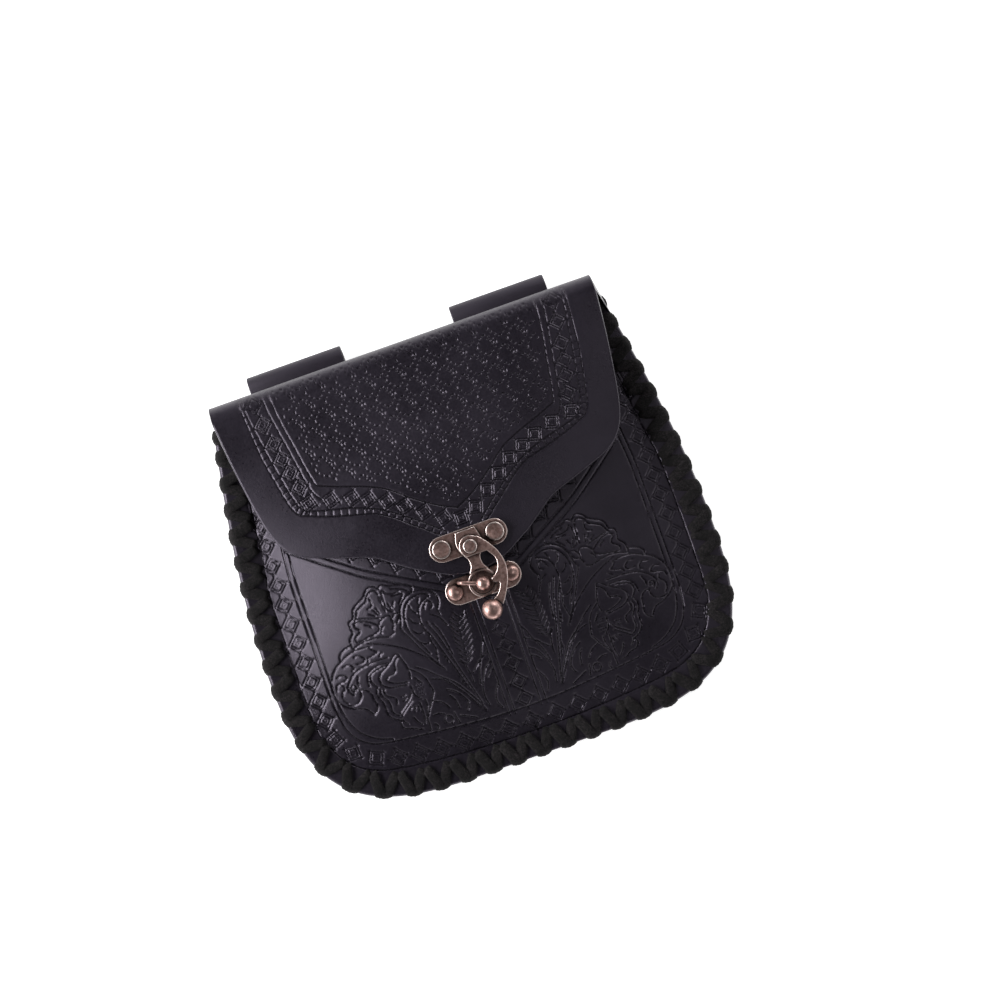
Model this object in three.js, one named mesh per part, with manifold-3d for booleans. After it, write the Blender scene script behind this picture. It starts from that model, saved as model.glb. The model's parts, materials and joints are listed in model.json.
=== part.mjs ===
// Medieval belt pouch in black tooled leather: a back that folds over as the flap, a crowned front laced
// to it round the rim, two belt loops behind, and a swing clasp of antique copper.
// Millimetres. The pouch lies on its back: +X to its right, +Y towards the fold, +Z out of its front.
import * as THREE from 'three';
import { mergeVertices } from 'three/addons/utils/BufferGeometryUtils.js';
import Module from 'manifold-3d';

const wasm = await Module();
wasm.setup();

// Body
const POUCH_HEIGHT = 199.5;
const POUCH_WIDTH = 213;
const FOLD_WIDTH = 185;
const WIDEST_DOWN = 0.63;
const LEATHER = 2.2;
const GAP = 0.3;
const CORNER_DROP_POWER = 2.76;
const CORNER_ROUND_POWER = 4.5;
const BOTTOM_START = 0.998;

// Front panel: its flat rim takes the lacing and its middle is crowned
const RIM_WIDTH = 10;
const MOUTH_DOWN = 13;
const MOUTH_CROWN = 9;
const FRONT_CROWN = 22;
const CROWN_DOWN = 112;
const CROWN_FLATNESS = 2.4;
const CROWN_EASE = 1.25;

// Flap
const FLAP_LENGTH = 110;
const FLAP_CLEARANCE = 1.7;
const FLAP_FLATNESS = 2.2;
const FLAP_DROOP = 3;
// Shares of the flap's length down from the fold, and of half the fold's width
const FLAP_OUTLINE = [
  { down: 0.077, half: 1.0 },
  { down: 0.27, half: 0.977 },
  { down: 0.455, half: 0.946 },
  { down: 0.565, half: 0.919 },
  { down: 0.628, half: 0.891 },
  { down: 0.673, half: 0.854 },
  { down: 0.7, half: 0.817 },
  { down: 0.723, half: 0.768 },
  { down: 0.745, half: 0.698 },
  { down: 0.772, half: 0.606 },
  { down: 0.797, half: 0.514 },
  { down: 0.818, half: 0.454 },
  { down: 0.845, half: 0.406 },
  { down: 0.879, half: 0.351 },
  { down: 0.911, half: 0.297 },
  { down: 0.936, half: 0.243 },
  { down: 0.962, half: 0.189 },
  { down: 0.985, half: 0.13 },
  { down: 1.0, half: 0.054 },
];

// Edge lacing
const LACE_LAYER = 1.8;
const LACE_WEB = 2.2;
const LACE_REACH = 9;
const LACE_SLACK = 0.2;
const LACE_CHAMFER = 0.7;

// Belt loops
const LOOP_STRAP = 2;
const LOOP_WIDTH = 46;
const LOOP_SPACING = 99.4;
const LOOP_RISE = 9;
const BELT_SPACE = 6;
const BELT_HEIGHT = 42;
const LOOP_SEAM = 8;

// Swing clasp, measured from its pivot
const PIVOT_DOWN = 98.7;
const PLATE_THICKNESS = 1.4;
const PLATE_WIDTH = 11.8;
const PLATE_CENTRE = 2.7;
const PLATE_RIVET_SPACING = 25.3;
const PLATE_END = 5.65;
const RING_DOWN = 17.1;
const RING_OUTER = 6.6;
const RING_INNER = 5;
const CATCH_WIDTH = 12.2;
const CATCH_CENTRE = -17.6;
const CATCH_RIVET_SPACING = 26.7;
const CATCH_END = 4.5;
const RIVET_SHANK = 1.5;
const RIVET_SIDES = 18;
const FLAT_HEAD_RADIUS = 4.2;
const FLAT_HEAD_HEIGHT = 0.9;
const DOME_RADIUS = 3.7;
const DOME_HEIGHT = 2.2;
const BURR_RADIUS = 3.2;
const BURR_HEIGHT = 0.6;
const POST_BALL = 3.3;
const POST_WIRE = 0.85;
const POST_FOOT_INSIDE_RIVET = 3.1;
const POST_FOOT_ABOVE_CENTRE = 3.8;
const PIVOT_HEAD_RADIUS = 3.2;
const PIVOT_HEAD_HEIGHT = 1;

// Half widths of the raised tongue: down as shares of the ring's drop, half as shares of half the plate
const TONGUE = [
  { down: -0.45, half: 0.78 },
  { down: -0.16, half: 1.0 },
  { down: 0.02, half: 0.93 },
  { down: 0.19, half: 0.71 },
  { down: 0.31, half: 0.5 },
  { down: 0.43, half: 0.45 },
  { down: 0.53, half: 0.49 },
  { down: 0.61, half: 0.61 },
  { down: 0.7, half: 0.8 },
  { down: 0.79, half: 0.93 },
];

// Lever: a boss round the pivot, a crescent that sweeps out, and a ball under the pivot
const LEVER_THICKNESS = 1.6;
const LEVER_BOSS = 5;
const LEVER_BALL = 4.65;
const LEVER_BALL_RISE = 0.7;
const LEVER_LENGTH = 29.9;
const LEVER_SWEEP = 12.45;
const BOSS_FROM_DEGREES = 237.3;
const BOSS_TO_DEGREES = 55;
// Points of its edge: out as shares of its sweep, down as shares of its length
const LEVER_OUTER_EDGE = [
  { out: 0.47, down: -0.07 },
  { out: 0.871, down: 0.177 },
  { out: 1.0, down: 0.418 },
  { out: 0.892, down: 0.645 },
  { out: 0.655, down: 0.846 },
  { out: 0.438, down: 0.98 },
];
const LEVER_CUT_END = { out: 0.165, down: 0.863 };
const LEVER_NOSE = [
  { out: 0.309, down: 0.826 },
  { out: 0.454, down: 0.763 },
  { out: 0.566, down: 0.672 },
  { out: 0.534, down: 0.639 },
  { out: 0.349, down: 0.622 },
];
const LEVER_SPUR_TIP = { out: 0.341, down: 0.562 };
const LEVER_SPUR = [
  { out: 0.518, down: 0.512 },
  { out: 0.663, down: 0.435 },
  { out: 0.727, down: 0.344 },
  { out: 0.695, down: 0.261 },
  { out: 0.514, down: 0.14 },
];

// Facets: rows along the straight sides and round the corners, and columns across
const BACK_ROWS = { straight: 6, corner: 11 };
const BACK_COLUMNS = 16;
const FRONT_ROWS = { straight: 9, corner: 15 };
const FRONT_COLUMNS = 22;
const CROWN_ROWS = { straight: 24, corner: 40 };
const LACING_ROWS = { straight: 9, corner: 18 };
const FOLD_STEPS = 8;
const FLAP_ROWS = 30;
const LOOP_FACETS = 8;
const ROUND_SIDES = 28;

const leather = { color: 0x1d1c22, roughness: 0.5, metalness: 0 };
const suede = { color: 0x191715, roughness: 0.9, metalness: 0 };
const copper = { color: 0x8a6a5e, roughness: 0.35, metalness: 1 };

// Solids for boolean cuts and joins
function toSolid(geometry) {
  const bare = geometry.clone();
  bare.deleteAttribute('normal');
  bare.deleteAttribute('uv');
  const merged = mergeVertices(bare, 1e-4);
  return new wasm.Manifold(new wasm.Mesh({
    numProp: 3,
    vertProperties: new Float32Array(merged.attributes.position.array),
    triVerts: new Uint32Array(merged.index.array),
  }));
}

function toGeometry(solid) {
  const mesh = solid.getMesh();
  const geometry = new THREE.BufferGeometry();
  geometry.setAttribute('position', new THREE.BufferAttribute(new Float32Array(mesh.vertProperties), 3));
  geometry.setIndex(new THREE.BufferAttribute(new Uint32Array(mesh.triVerts), 1));
  geometry.computeVertexNormals();
  return geometry;
}

function piece(name, geometry, finish) {
  const mesh = new THREE.Mesh(geometry, new THREE.MeshStandardMaterial(finish));
  mesh.name = name;
  return mesh;
}

// Cylinder along Z between two heights
function pin(radius, low, high, x, y, sides = 16) {
  const geometry = new THREE.CylinderGeometry(radius, radius, high - low, sides);
  geometry.rotateX(Math.PI / 2);
  geometry.translate(x, y, (low + high) / 2);
  return geometry;
}

function ball(radius, x, y, z, across = 20, down = 12) {
  const geometry = new THREE.SphereGeometry(radius, across, down);
  geometry.translate(x, y, z);
  return geometry;
}

// Half width of the body's leather edge at a distance down from the fold
function bodyHalf(down) {
  const widest = WIDEST_DOWN * POUCH_HEIGHT;
  if (down < widest) {
    const swell = Math.sin((Math.PI / 2) * (down / widest));
    return (FOLD_WIDTH + (POUCH_WIDTH - FOLD_WIDTH) * swell) / 2;
  }
  const drop = Math.min((down - widest) / (POUCH_HEIGHT - widest), 1);
  return (POUCH_WIDTH / 2) * (1 - drop ** CORNER_DROP_POWER) ** (1 / CORNER_ROUND_POWER);
}

// The body's edge from one place down to the bottom, with rows drawn together where it turns
function bodyRows(from, { straight, corner }) {
  const widest = WIDEST_DOWN * POUCH_HEIGHT;
  const rows = [];
  for (let i = 0; i < straight; i += 1) {
    rows.push(from + ((widest - from) * i) / straight);
  }
  for (let i = 0; i < corner; i += 1) {
    rows.push(widest + (POUCH_HEIGHT - widest) * Math.sin((Math.PI / 2) * (i / corner)));
  }
  rows.push(POUCH_HEIGHT * BOTTOM_START);
  return rows;
}

// Points of the right-hand edge with the direction that faces away from the body
function edgeStations(from, rows) {
  const points = bodyRows(from, rows).map((down) => new THREE.Vector2(bodyHalf(down), -down));
  const flatStart = points[points.length - 1];
  for (const share of [2 / 3, 1 / 3, 0]) {
    points.push(new THREE.Vector2(flatStart.x * share, -POUCH_HEIGHT));
  }
  return points.map((point, i) => {
    const before = points[Math.max(i - 1, 0)];
    const after = points[Math.min(i + 1, points.length - 1)];
    const along = after.clone().sub(before).normalize();
    return { point, outward: new THREE.Vector2(-along.y, along.x) };
  });
}

// Half width of the crowned part, which is the edge drawn in by the rim
const crownEdge = edgeStations(0, CROWN_ROWS).map(({ point, outward }) => (
  new THREE.Vector2(point.x - outward.x * RIM_WIDTH, -(point.y - outward.y * RIM_WIDTH))
));
const crownBottom = POUCH_HEIGHT - RIM_WIDTH;

function crownHalf(down) {
  for (let i = 1; i < crownEdge.length; i += 1) {
    const [above, below] = [crownEdge[i - 1], crownEdge[i]];
    if (down <= below.y && below.y > above.y) {
      const share = Math.max((down - above.y) / (below.y - above.y), 0);
      return above.x + (below.x - above.x) * share;
    }
  }
  return 0;
}

// Height of the front's middle line above its rim
function frontCrest(down) {
  if (down < CROWN_DOWN) {
    const share = (down - MOUTH_DOWN) / (CROWN_DOWN - MOUTH_DOWN);
    return MOUTH_CROWN + (FRONT_CROWN - MOUTH_CROWN) * Math.sin((Math.PI / 2) * share);
  }
  const fall = Math.min((down - CROWN_DOWN) / (crownBottom - CROWN_DOWN), 1);
  return FRONT_CROWN * (1 - fall ** 2) ** CROWN_EASE;
}

const frontRim = LEATHER + GAP + LEATHER / 2;

function frontHeight(x, down) {
  const half = crownHalf(down);
  if (down >= crownBottom || Math.abs(x) >= half) {
    return frontRim;
  }
  const share = (Math.abs(x) / half) ** CROWN_FLATNESS;
  return frontRim + frontCrest(down) * (1 - share) ** CROWN_EASE;
}

// The fold is half a tube that carries the flap clear of the mouth
const frontFaceAtMouth = frontRim + MOUTH_CROWN + LEATHER / 2;
const foldRadius = (frontFaceAtMouth + FLAP_CLEARANCE + LEATHER) / 2;
const foldMiddle = foldRadius - LEATHER / 2;
const flapStart = foldRadius + foldMiddle;
const frontFace = frontRim + FRONT_CROWN + LEATHER / 2;
const flapTop = frontFace + FLAP_CLEARANCE + LEATHER / 2;
const flapLevelDown = PIVOT_DOWN + PLATE_WIDTH / 2;

function flapHeight(x, down) {
  const run = Math.min((down - foldRadius) / (flapLevelDown - foldRadius), 1);
  const crest = flapStart + (flapTop - flapStart) * Math.sin((Math.PI / 2) * Math.max(run, 0));
  const side = Math.abs(x) / (FOLD_WIDTH / 2);
  const droop = FLAP_DROOP * (down / FLAP_LENGTH) ** 2 * side ** 3;
  return flapStart + (crest - flapStart) * (1 - side ** FLAP_FLATNESS) - droop;
}

// Columns across a sheet, drawn together towards its edges
function columnShares(count) {
  return Array.from({ length: count + 1 }, (_, i) => Math.sin((Math.PI / 2) * ((2 * i) / count - 1)));
}

// A leather wall of even thickness on both sides of a grid of middle points
function leatherWall(grid, thickness) {
  const rows = grid.length;
  const columns = grid[0].length;
  const positions = [];
  const index = [];
  for (const side of [1, -1]) {
    for (let i = 0; i < rows; i += 1) {
      for (let j = 0; j < columns; j += 1) {
        const along = grid[Math.min(i + 1, rows - 1)][j].clone().sub(grid[Math.max(i - 1, 0)][j]);
        const across = grid[i][Math.min(j + 1, columns - 1)].clone().sub(grid[i][Math.max(j - 1, 0)]);
        const normal = across.cross(along).normalize();
        positions.push(...grid[i][j].clone().addScaledVector(normal, (side * thickness) / 2).toArray());
      }
    }
  }
  const near = (i, j) => i * columns + j;
  const far = (i, j) => rows * columns + near(i, j);
  const quad = (a, b, c, d) => index.push(a, b, c, a, c, d);
  for (let i = 0; i < rows - 1; i += 1) {
    for (let j = 0; j < columns - 1; j += 1) {
      quad(near(i, j), near(i, j + 1), near(i + 1, j + 1), near(i + 1, j));
      quad(far(i, j), far(i + 1, j), far(i + 1, j + 1), far(i, j + 1));
    }
    quad(near(i, 0), near(i + 1, 0), far(i + 1, 0), far(i, 0));
    quad(far(i, columns - 1), far(i + 1, columns - 1), near(i + 1, columns - 1), near(i, columns - 1));
  }
  for (let j = 0; j < columns - 1; j += 1) {
    quad(far(0, j), far(0, j + 1), near(0, j + 1), near(0, j));
    quad(near(rows - 1, j), near(rows - 1, j + 1), far(rows - 1, j + 1), far(rows - 1, j));
  }
  const geometry = new THREE.BufferGeometry();
  geometry.setAttribute('position', new THREE.BufferAttribute(new Float32Array(positions), 3));
  geometry.setIndex(index);
  geometry.computeVertexNormals();
  return geometry;
}

// The four places where rivets pass through leather
const plateRivets = [-1, 1].map((side) => (side * PLATE_RIVET_SPACING) / 2);
const catchRivets = [-1, 1].map((side) => (side * CATCH_RIVET_SPACING) / 2);
const plateRivetY = -PIVOT_DOWN + PLATE_CENTRE;
const catchRivetY = -PIVOT_DOWN + CATCH_CENTRE;

// Round holes for rivet shanks, between two heights
function drill(solid, places, y, low, high) {
  return places.reduce((rest, x) => rest.subtract(toSolid(pin(RIVET_SHANK + GAP, low, high, x, y))), solid);
}

function backAndFlap() {
  const shares = columnShares(BACK_COLUMNS);
  const row = (half, y, height) => shares.map((share) => (
    new THREE.Vector3(share * half, y, height(share * half))
  ));
  const downs = bodyRows(foldRadius, BACK_ROWS).reverse();
  const grid = downs.map((down) => row(bodyHalf(down), -down, () => LEATHER / 2));
  for (let i = 1; i < FOLD_STEPS; i += 1) {
    const turn = (Math.PI * i) / FOLD_STEPS;
    const down = foldRadius - foldMiddle * Math.sin(turn);
    grid.push(row(FOLD_WIDTH / 2, -down, () => foldRadius - foldMiddle * Math.cos(turn)));
  }
  const outline = new THREE.SplineCurve(FLAP_OUTLINE.map(({ down, half }) => (
    new THREE.Vector2((half * FOLD_WIDTH) / 2, down * FLAP_LENGTH)
  )));
  for (const edge of outline.getPoints(FLAP_ROWS)) {
    grid.push(row(edge.x, -edge.y, (x) => flapHeight(x, edge.y)));
  }
  const wall = toSolid(leatherWall(grid, LEATHER));
  return toGeometry(drill(wall, plateRivets, plateRivetY, frontFace, flapTop + 2 * LEATHER));
}

function frontPanel() {
  const shares = columnShares(FRONT_COLUMNS);
  const grid = bodyRows(MOUTH_DOWN, FRONT_ROWS).reverse().map((down) => shares.map((share) => {
    const x = share * bodyHalf(down);
    return new THREE.Vector3(x, -down, frontHeight(x, down));
  }));
  const wall = toSolid(leatherWall(grid, LEATHER));
  return toGeometry(drill(wall, catchRivets, catchRivetY, frontFace - 3 * LEATHER, frontFace + LEATHER));
}

// The outer form of the lacing: a channel round both rims, from the mouth down, round and up again
function edgeLacing() {
  const front = frontRim + LEATHER / 2 + GAP + LACE_SLACK;
  const back = -GAP;
  const chamfer = LACE_CHAMFER * LACE_LAYER;
  const section = [
    [-LACE_REACH, front], [GAP, front], [GAP, back], [-LACE_REACH, back],
    [-LACE_REACH, back - LACE_LAYER / 2], [-LACE_REACH + chamfer, back - LACE_LAYER],
    [GAP + LACE_WEB - chamfer, back - LACE_LAYER], [GAP + LACE_WEB, back - LACE_LAYER + chamfer],
    [GAP + LACE_WEB, front + LACE_LAYER - chamfer], [GAP + LACE_WEB - chamfer, front + LACE_LAYER],
    [-LACE_REACH + chamfer, front + LACE_LAYER], [-LACE_REACH, front + LACE_LAYER / 2],
  ].map(([out, z]) => new THREE.Vector2(out, z));
  const right = edgeStations(MOUTH_DOWN + GAP, LACING_ROWS);
  const left = right.slice(0, -1).reverse().map(({ point, outward }) => ({
    point: new THREE.Vector2(-point.x, point.y),
    outward: new THREE.Vector2(-outward.x, outward.y),
  }));
  const rings = [...right, ...left].map(({ point, outward }) => section.map((corner) => (
    new THREE.Vector3(point.x + outward.x * corner.x, point.y + outward.y * corner.x, corner.y)
  )));
  return loft(rings, section);
}

// A solid through equal rings of points, closed at both ends by its flat section
function loft(rings, section) {
  const count = section.length;
  const positions = rings.flat().flatMap((point) => point.toArray());
  const index = [];
  for (let i = 0; i < rings.length - 1; i += 1) {
    for (let j = 0; j < count; j += 1) {
      const next = (j + 1) % count;
      const [a, b, c, d] = [i * count + j, i * count + next, (i + 1) * count + next, (i + 1) * count + j];
      index.push(a, b, c, a, c, d);
    }
  }
  const last = (rings.length - 1) * count;
  for (const [a, b, c] of THREE.ShapeUtils.triangulateShape(section, [])) {
    index.push(c, b, a, last + a, last + b, last + c);
  }
  const geometry = new THREE.BufferGeometry();
  geometry.setAttribute('position', new THREE.BufferAttribute(new Float32Array(positions), 3));
  geometry.setIndex(index);
  geometry.computeVertexNormals();
  return geometry;
}

// The pouch rests on the outer legs of its belt loops and on the lacing at its lower rim
const loopFoot = -LOOP_RISE + LOOP_STRAP + BELT_HEIGHT;
const loopDepth = GAP + 2 * LOOP_STRAP + BELT_SPACE;
const laceDepth = GAP + LACE_LAYER;
const restRun = POUCH_HEIGHT + GAP + LACE_WEB - loopFoot;
const restSlope = (loopDepth - laceDepth) / restRun;
const restTilt = Math.atan(restSlope);

// One strap folded over and sewn down below the belt; its outer leg lies flat on the ground
function beltLoop() {
  const outerFace = (down) => -loopDepth - restSlope * (loopFoot - down);
  const topDown = -LOOP_RISE - outerFace(-LOOP_RISE) / 2;
  const topDepth = outerFace(topDown);
  const topRadius = (-GAP - topDepth) / 2;
  const seamFace = -GAP - 2 * LOOP_STRAP;
  const seamStart = loopFoot + BELT_SPACE;
  const shape = new THREE.Shape();
  shape.moveTo(-seamStart - LOOP_SEAM, -GAP);
  shape.lineTo(-seamStart - LOOP_SEAM, seamFace);
  shape.lineTo(-seamStart, seamFace);
  shape.lineTo(-loopFoot, outerFace(loopFoot));
  shape.lineTo(-topDown, topDepth);
  shape.absarc(-topDown, -GAP - topRadius, topRadius, -Math.PI / 2, Math.PI / 2, false);
  const space = new THREE.Path();
  space.moveTo(-seamStart, -GAP - LOOP_STRAP);
  space.lineTo(-loopFoot, outerFace(loopFoot) + LOOP_STRAP);
  space.lineTo(-topDown, topDepth + LOOP_STRAP);
  space.absarc(-topDown, -GAP - topRadius, topRadius - LOOP_STRAP, -Math.PI / 2, Math.PI / 2, false);
  shape.holes.push(space);
  const options = { depth: LOOP_WIDTH, bevelEnabled: false, curveSegments: LOOP_FACETS };
  const geometry = new THREE.ExtrudeGeometry(shape, options);
  geometry.translate(0, 0, -LOOP_WIDTH / 2);
  return geometry;
}

// Heights of the clasp's layers, from the front's face up
const catchBase = frontFace + GAP;
const catchTop = catchBase + PLATE_THICKNESS;
const plateBase = flapTop + LEATHER / 2 + GAP;
const plateTop = plateBase + PLATE_THICKNESS;
const tongueTop = plateTop + PLATE_THICKNESS;
const leverBase = tongueTop + GAP;
const leverTop = leverBase + LEVER_THICKNESS;
const leverMiddle = (leverBase + leverTop) / 2;

function stadium(length, width, centreY) {
  const radius = width / 2;
  const reach = length / 2 - radius;
  const shape = new THREE.Shape();
  shape.absarc(reach, centreY, radius, -Math.PI / 2, Math.PI / 2, false);
  shape.absarc(-reach, centreY, radius, Math.PI / 2, 1.5 * Math.PI, false);
  return shape;
}

function slab(shape, low, high, curveSegments = 8) {
  const options = { depth: high - low, bevelEnabled: false, curveSegments };
  const geometry = new THREE.ExtrudeGeometry(shape, options);
  geometry.translate(0, 0, low);
  return geometry;
}

// The riveted plate, with the tongue that stands on it and carries the ring
function claspPlate() {
  const plate = stadium(PLATE_RIVET_SPACING + 2 * PLATE_END, PLATE_WIDTH, PLATE_CENTRE);
  const right = TONGUE.map(({ down, half }) => (
    new THREE.Vector2((half * PLATE_WIDTH) / 2, -down * RING_DOWN)
  ));
  const left = right.map(({ x, y }) => new THREE.Vector2(-x, y)).reverse();
  const tongue = new THREE.Shape();
  tongue.moveTo(left[left.length - 1].x, left[left.length - 1].y);
  tongue.lineTo(right[0].x, right[0].y);
  tongue.splineThru(right.slice(1));
  tongue.lineTo(left[0].x, left[0].y);
  tongue.splineThru(left.slice(1));
  const ring = new THREE.Shape();
  ring.absarc(0, -RING_DOWN, RING_OUTER, 0, 2 * Math.PI, false);
  let solid = toSolid(slab(plate, plateBase, plateTop));
  solid = solid.add(toSolid(slab(tongue, plateTop - GAP, tongueTop, 2)));
  solid = solid.add(toSolid(slab(ring, plateTop, tongueTop, ROUND_SIDES)));
  solid = solid.subtract(toSolid(pin(RING_INNER, plateBase, tongueTop + GAP, 0, -RING_DOWN, ROUND_SIDES)));
  solid = drill(solid, [0], 0, plateBase - GAP, tongueTop + GAP);
  return toGeometry(drill(solid, plateRivets, PLATE_CENTRE, plateBase - GAP, tongueTop));
}

// The post rises at the catch plate's edge, bends over the ring and carries the ball in its middle
function catchPlate() {
  const plate = stadium(CATCH_RIVET_SPACING + 2 * CATCH_END, CATCH_WIDTH, CATCH_CENTRE);
  const footX = POST_FOOT_INSIDE_RIVET - CATCH_RIVET_SPACING / 2;
  const foot = new THREE.Vector3(footX, CATCH_CENTRE + POST_FOOT_ABOVE_CENTRE, catchBase + GAP);
  const level = tongueTop + GAP + POST_WIRE;
  const along = new THREE.Vector3(-foot.x, CATCH_CENTRE - foot.y, 0).normalize();
  const route = new THREE.CatmullRomCurve3([
    foot,
    foot.clone().setZ(level - 2 * POST_WIRE),
    foot.clone().setZ(level).addScaledVector(along, 2 * POST_WIRE),
    new THREE.Vector3(0, CATCH_CENTRE, level),
  ], false, 'centripetal');
  const section = new THREE.Shape();
  section.absarc(0, 0, POST_WIRE, 0, 2 * Math.PI, false);
  const wire = new THREE.ExtrudeGeometry(section, { extrudePath: route, steps: 14, curveSegments: 5 });
  let solid = toSolid(slab(plate, catchBase, catchTop));
  solid = solid.add(toSolid(wire));
  solid = solid.add(toSolid(ball(POST_BALL, 0, CATCH_CENTRE, leverMiddle, 16, 10)));
  return toGeometry(drill(solid, catchRivets, CATCH_CENTRE, catchBase - GAP, catchTop + GAP));
}

// The lever's outline runs round the boss, down its outer edge to the cut end, and back up by the spur
function claspLever() {
  const point = ({ out, down }) => new THREE.Vector2(out * LEVER_SWEEP, -down * LEVER_LENGTH);
  const { degToRad } = THREE.MathUtils;
  const cutEnd = point(LEVER_CUT_END);
  const spurTip = point(LEVER_SPUR_TIP);
  const shape = new THREE.Shape();
  shape.absarc(0, 0, LEVER_BOSS, degToRad(BOSS_FROM_DEGREES), degToRad(BOSS_TO_DEGREES), true);
  shape.splineThru(LEVER_OUTER_EDGE.map(point));
  shape.lineTo(cutEnd.x, cutEnd.y);
  shape.splineThru(LEVER_NOSE.map(point));
  shape.lineTo(spurTip.x, spurTip.y);
  shape.splineThru(LEVER_SPUR.map(point));
  let solid = toSolid(slab(shape, leverBase, leverTop, 4));
  solid = solid.add(toSolid(ball(LEVER_BALL, 0, -LEVER_LENGTH, leverMiddle + LEVER_BALL_RISE)));
  return toGeometry(drill(solid, [0], 0, leverBase - GAP, leverTop + GAP));
}

// A rivet turned about Z: head above, shank, and a burr that holds it underneath
function rivet(head, headBase, burrTop) {
  const shankEnd = burrTop - BURR_HEIGHT;
  const profile = [
    [0, shankEnd], [BURR_RADIUS, shankEnd], [BURR_RADIUS, burrTop], [RIVET_SHANK, burrTop],
    [RIVET_SHANK, headBase], ...head.map(([radius, rise]) => [radius, headBase + rise]),
  ].map(([radius, z]) => new THREE.Vector2(radius, z));
  const geometry = new THREE.LatheGeometry(profile, RIVET_SIDES);
  geometry.rotateX(Math.PI / 2);
  return geometry;
}

function flatHead(radius, height) {
  const edge = height / 3;
  return [[radius, 0], [radius, height - edge], [radius - edge, height], [0, height]];
}

function domedHead(radius, height) {
  const steps = 4;
  return Array.from({ length: steps + 1 }, (_, i) => {
    const turn = ((Math.PI / 2) * i) / steps;
    return [i === steps ? 0 : radius * Math.cos(turn), height * Math.sin(turn)];
  });
}

// The pivot passes through the tongue and stops at the plate's underside
function claspPivot() {
  const headBase = leverTop + GAP;
  const profile = [
    [0, plateBase], [RIVET_SHANK, plateBase], [RIVET_SHANK, headBase],
    ...flatHead(PIVOT_HEAD_RADIUS, PIVOT_HEAD_HEIGHT).map(([radius, rise]) => [radius, headBase + rise]),
  ].map(([radius, z]) => new THREE.Vector2(radius, z));
  const geometry = new THREE.LatheGeometry(profile, RIVET_SIDES);
  geometry.rotateX(Math.PI / 2);
  return geometry;
}

function placed(mesh, x, y) {
  mesh.position.set(x, y, 0);
  return mesh;
}

const pouch = new THREE.Group();
pouch.add(piece('back_and_flap', backAndFlap(), leather));
pouch.add(piece('front_panel', frontPanel(), leather));
pouch.add(piece('edge_lacing', edgeLacing(), suede));

const acrossTheBack = new THREE.Matrix4().makeBasis(
  new THREE.Vector3(0, 1, 0),
  new THREE.Vector3(0, 0, 1),
  new THREE.Vector3(1, 0, 0),
);
for (const [side, name] of [[-1, 'belt_loop_left'], [1, 'belt_loop_right']]) {
  const loop = piece(name, beltLoop(), leather);
  loop.quaternion.setFromRotationMatrix(acrossTheBack);
  loop.position.x = (side * LOOP_SPACING) / 2;
  pouch.add(loop);
}

const clasp = new THREE.Group();
clasp.position.y = -PIVOT_DOWN;
clasp.add(piece('clasp_plate', claspPlate(), copper));
clasp.add(piece('catch_plate', catchPlate(), copper));
clasp.add(piece('clasp_lever', claspLever(), copper));
clasp.add(piece('clasp_pivot', claspPivot(), copper));
// The leather falls away to the sides, so each burr sits under its own place in the leather
const burrReach = PLATE_RIVET_SPACING / 2 + BURR_RADIUS;
const flapInside = flapHeight(burrReach, -plateRivetY - BURR_RADIUS) - LEATHER / 2 - GAP;
const catchReach = CATCH_RIVET_SPACING / 2 + BURR_RADIUS;
const frontInside = frontHeight(catchReach, -catchRivetY + BURR_RADIUS) - LEATHER / 2 - GAP;
for (const [i, side] of ['left', 'right'].entries()) {
  const flat = rivet(flatHead(FLAT_HEAD_RADIUS, FLAT_HEAD_HEIGHT), plateTop + GAP, flapInside);
  clasp.add(placed(piece(`flap_rivet_${side}`, flat, copper), plateRivets[i], PLATE_CENTRE));
  const domed = rivet(domedHead(DOME_RADIUS, DOME_HEIGHT), catchTop + GAP, frontInside);
  clasp.add(placed(piece(`catch_rivet_${side}`, domed, copper), catchRivets[i], CATCH_CENTRE));
}
pouch.add(clasp);

// Lying on its back, it stands on the ground with its middle over the origin
pouch.rotation.x = restTilt;
const group = new THREE.Group();
group.add(pouch);
const box = new THREE.Box3().setFromObject(group, true);
const middle = box.getCenter(new THREE.Vector3());
pouch.position.set(-middle.x, -middle.y, -box.min.z);

export default group;
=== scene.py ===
"""A medieval belt pouch in black tooled leather, lying on its back.

A back that folds over as the flap, a crowned front laced to it round the rim, two belt loops behind, and
a swing clasp of antique copper. Shapes are worked out in millimetres in the pouch's own frame: x to its
right, y up to the fold, z out of its front. "Down" is the distance below the fold, which is minus y.
"""

import json
import logging
import math
import random
from dataclasses import dataclass, field
from enum import Enum
from typing import Callable, Optional, Sequence, Union

import bmesh
import bpy
import numpy as np
from mathutils import Matrix, Vector


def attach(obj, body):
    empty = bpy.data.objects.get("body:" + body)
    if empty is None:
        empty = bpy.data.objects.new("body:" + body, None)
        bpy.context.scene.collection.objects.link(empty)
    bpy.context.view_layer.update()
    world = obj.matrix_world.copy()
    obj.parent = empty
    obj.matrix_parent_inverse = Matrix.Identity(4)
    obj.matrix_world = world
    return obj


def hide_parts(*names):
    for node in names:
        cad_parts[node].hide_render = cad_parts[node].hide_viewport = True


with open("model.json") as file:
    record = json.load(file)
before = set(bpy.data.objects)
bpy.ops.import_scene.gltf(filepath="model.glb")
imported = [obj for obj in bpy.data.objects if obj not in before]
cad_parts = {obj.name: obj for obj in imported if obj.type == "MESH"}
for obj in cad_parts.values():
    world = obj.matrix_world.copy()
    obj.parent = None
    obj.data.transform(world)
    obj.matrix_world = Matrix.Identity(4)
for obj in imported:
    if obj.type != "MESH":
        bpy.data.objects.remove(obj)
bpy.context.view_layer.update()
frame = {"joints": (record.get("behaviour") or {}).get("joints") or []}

log = logging.getLogger("pouch")
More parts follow.
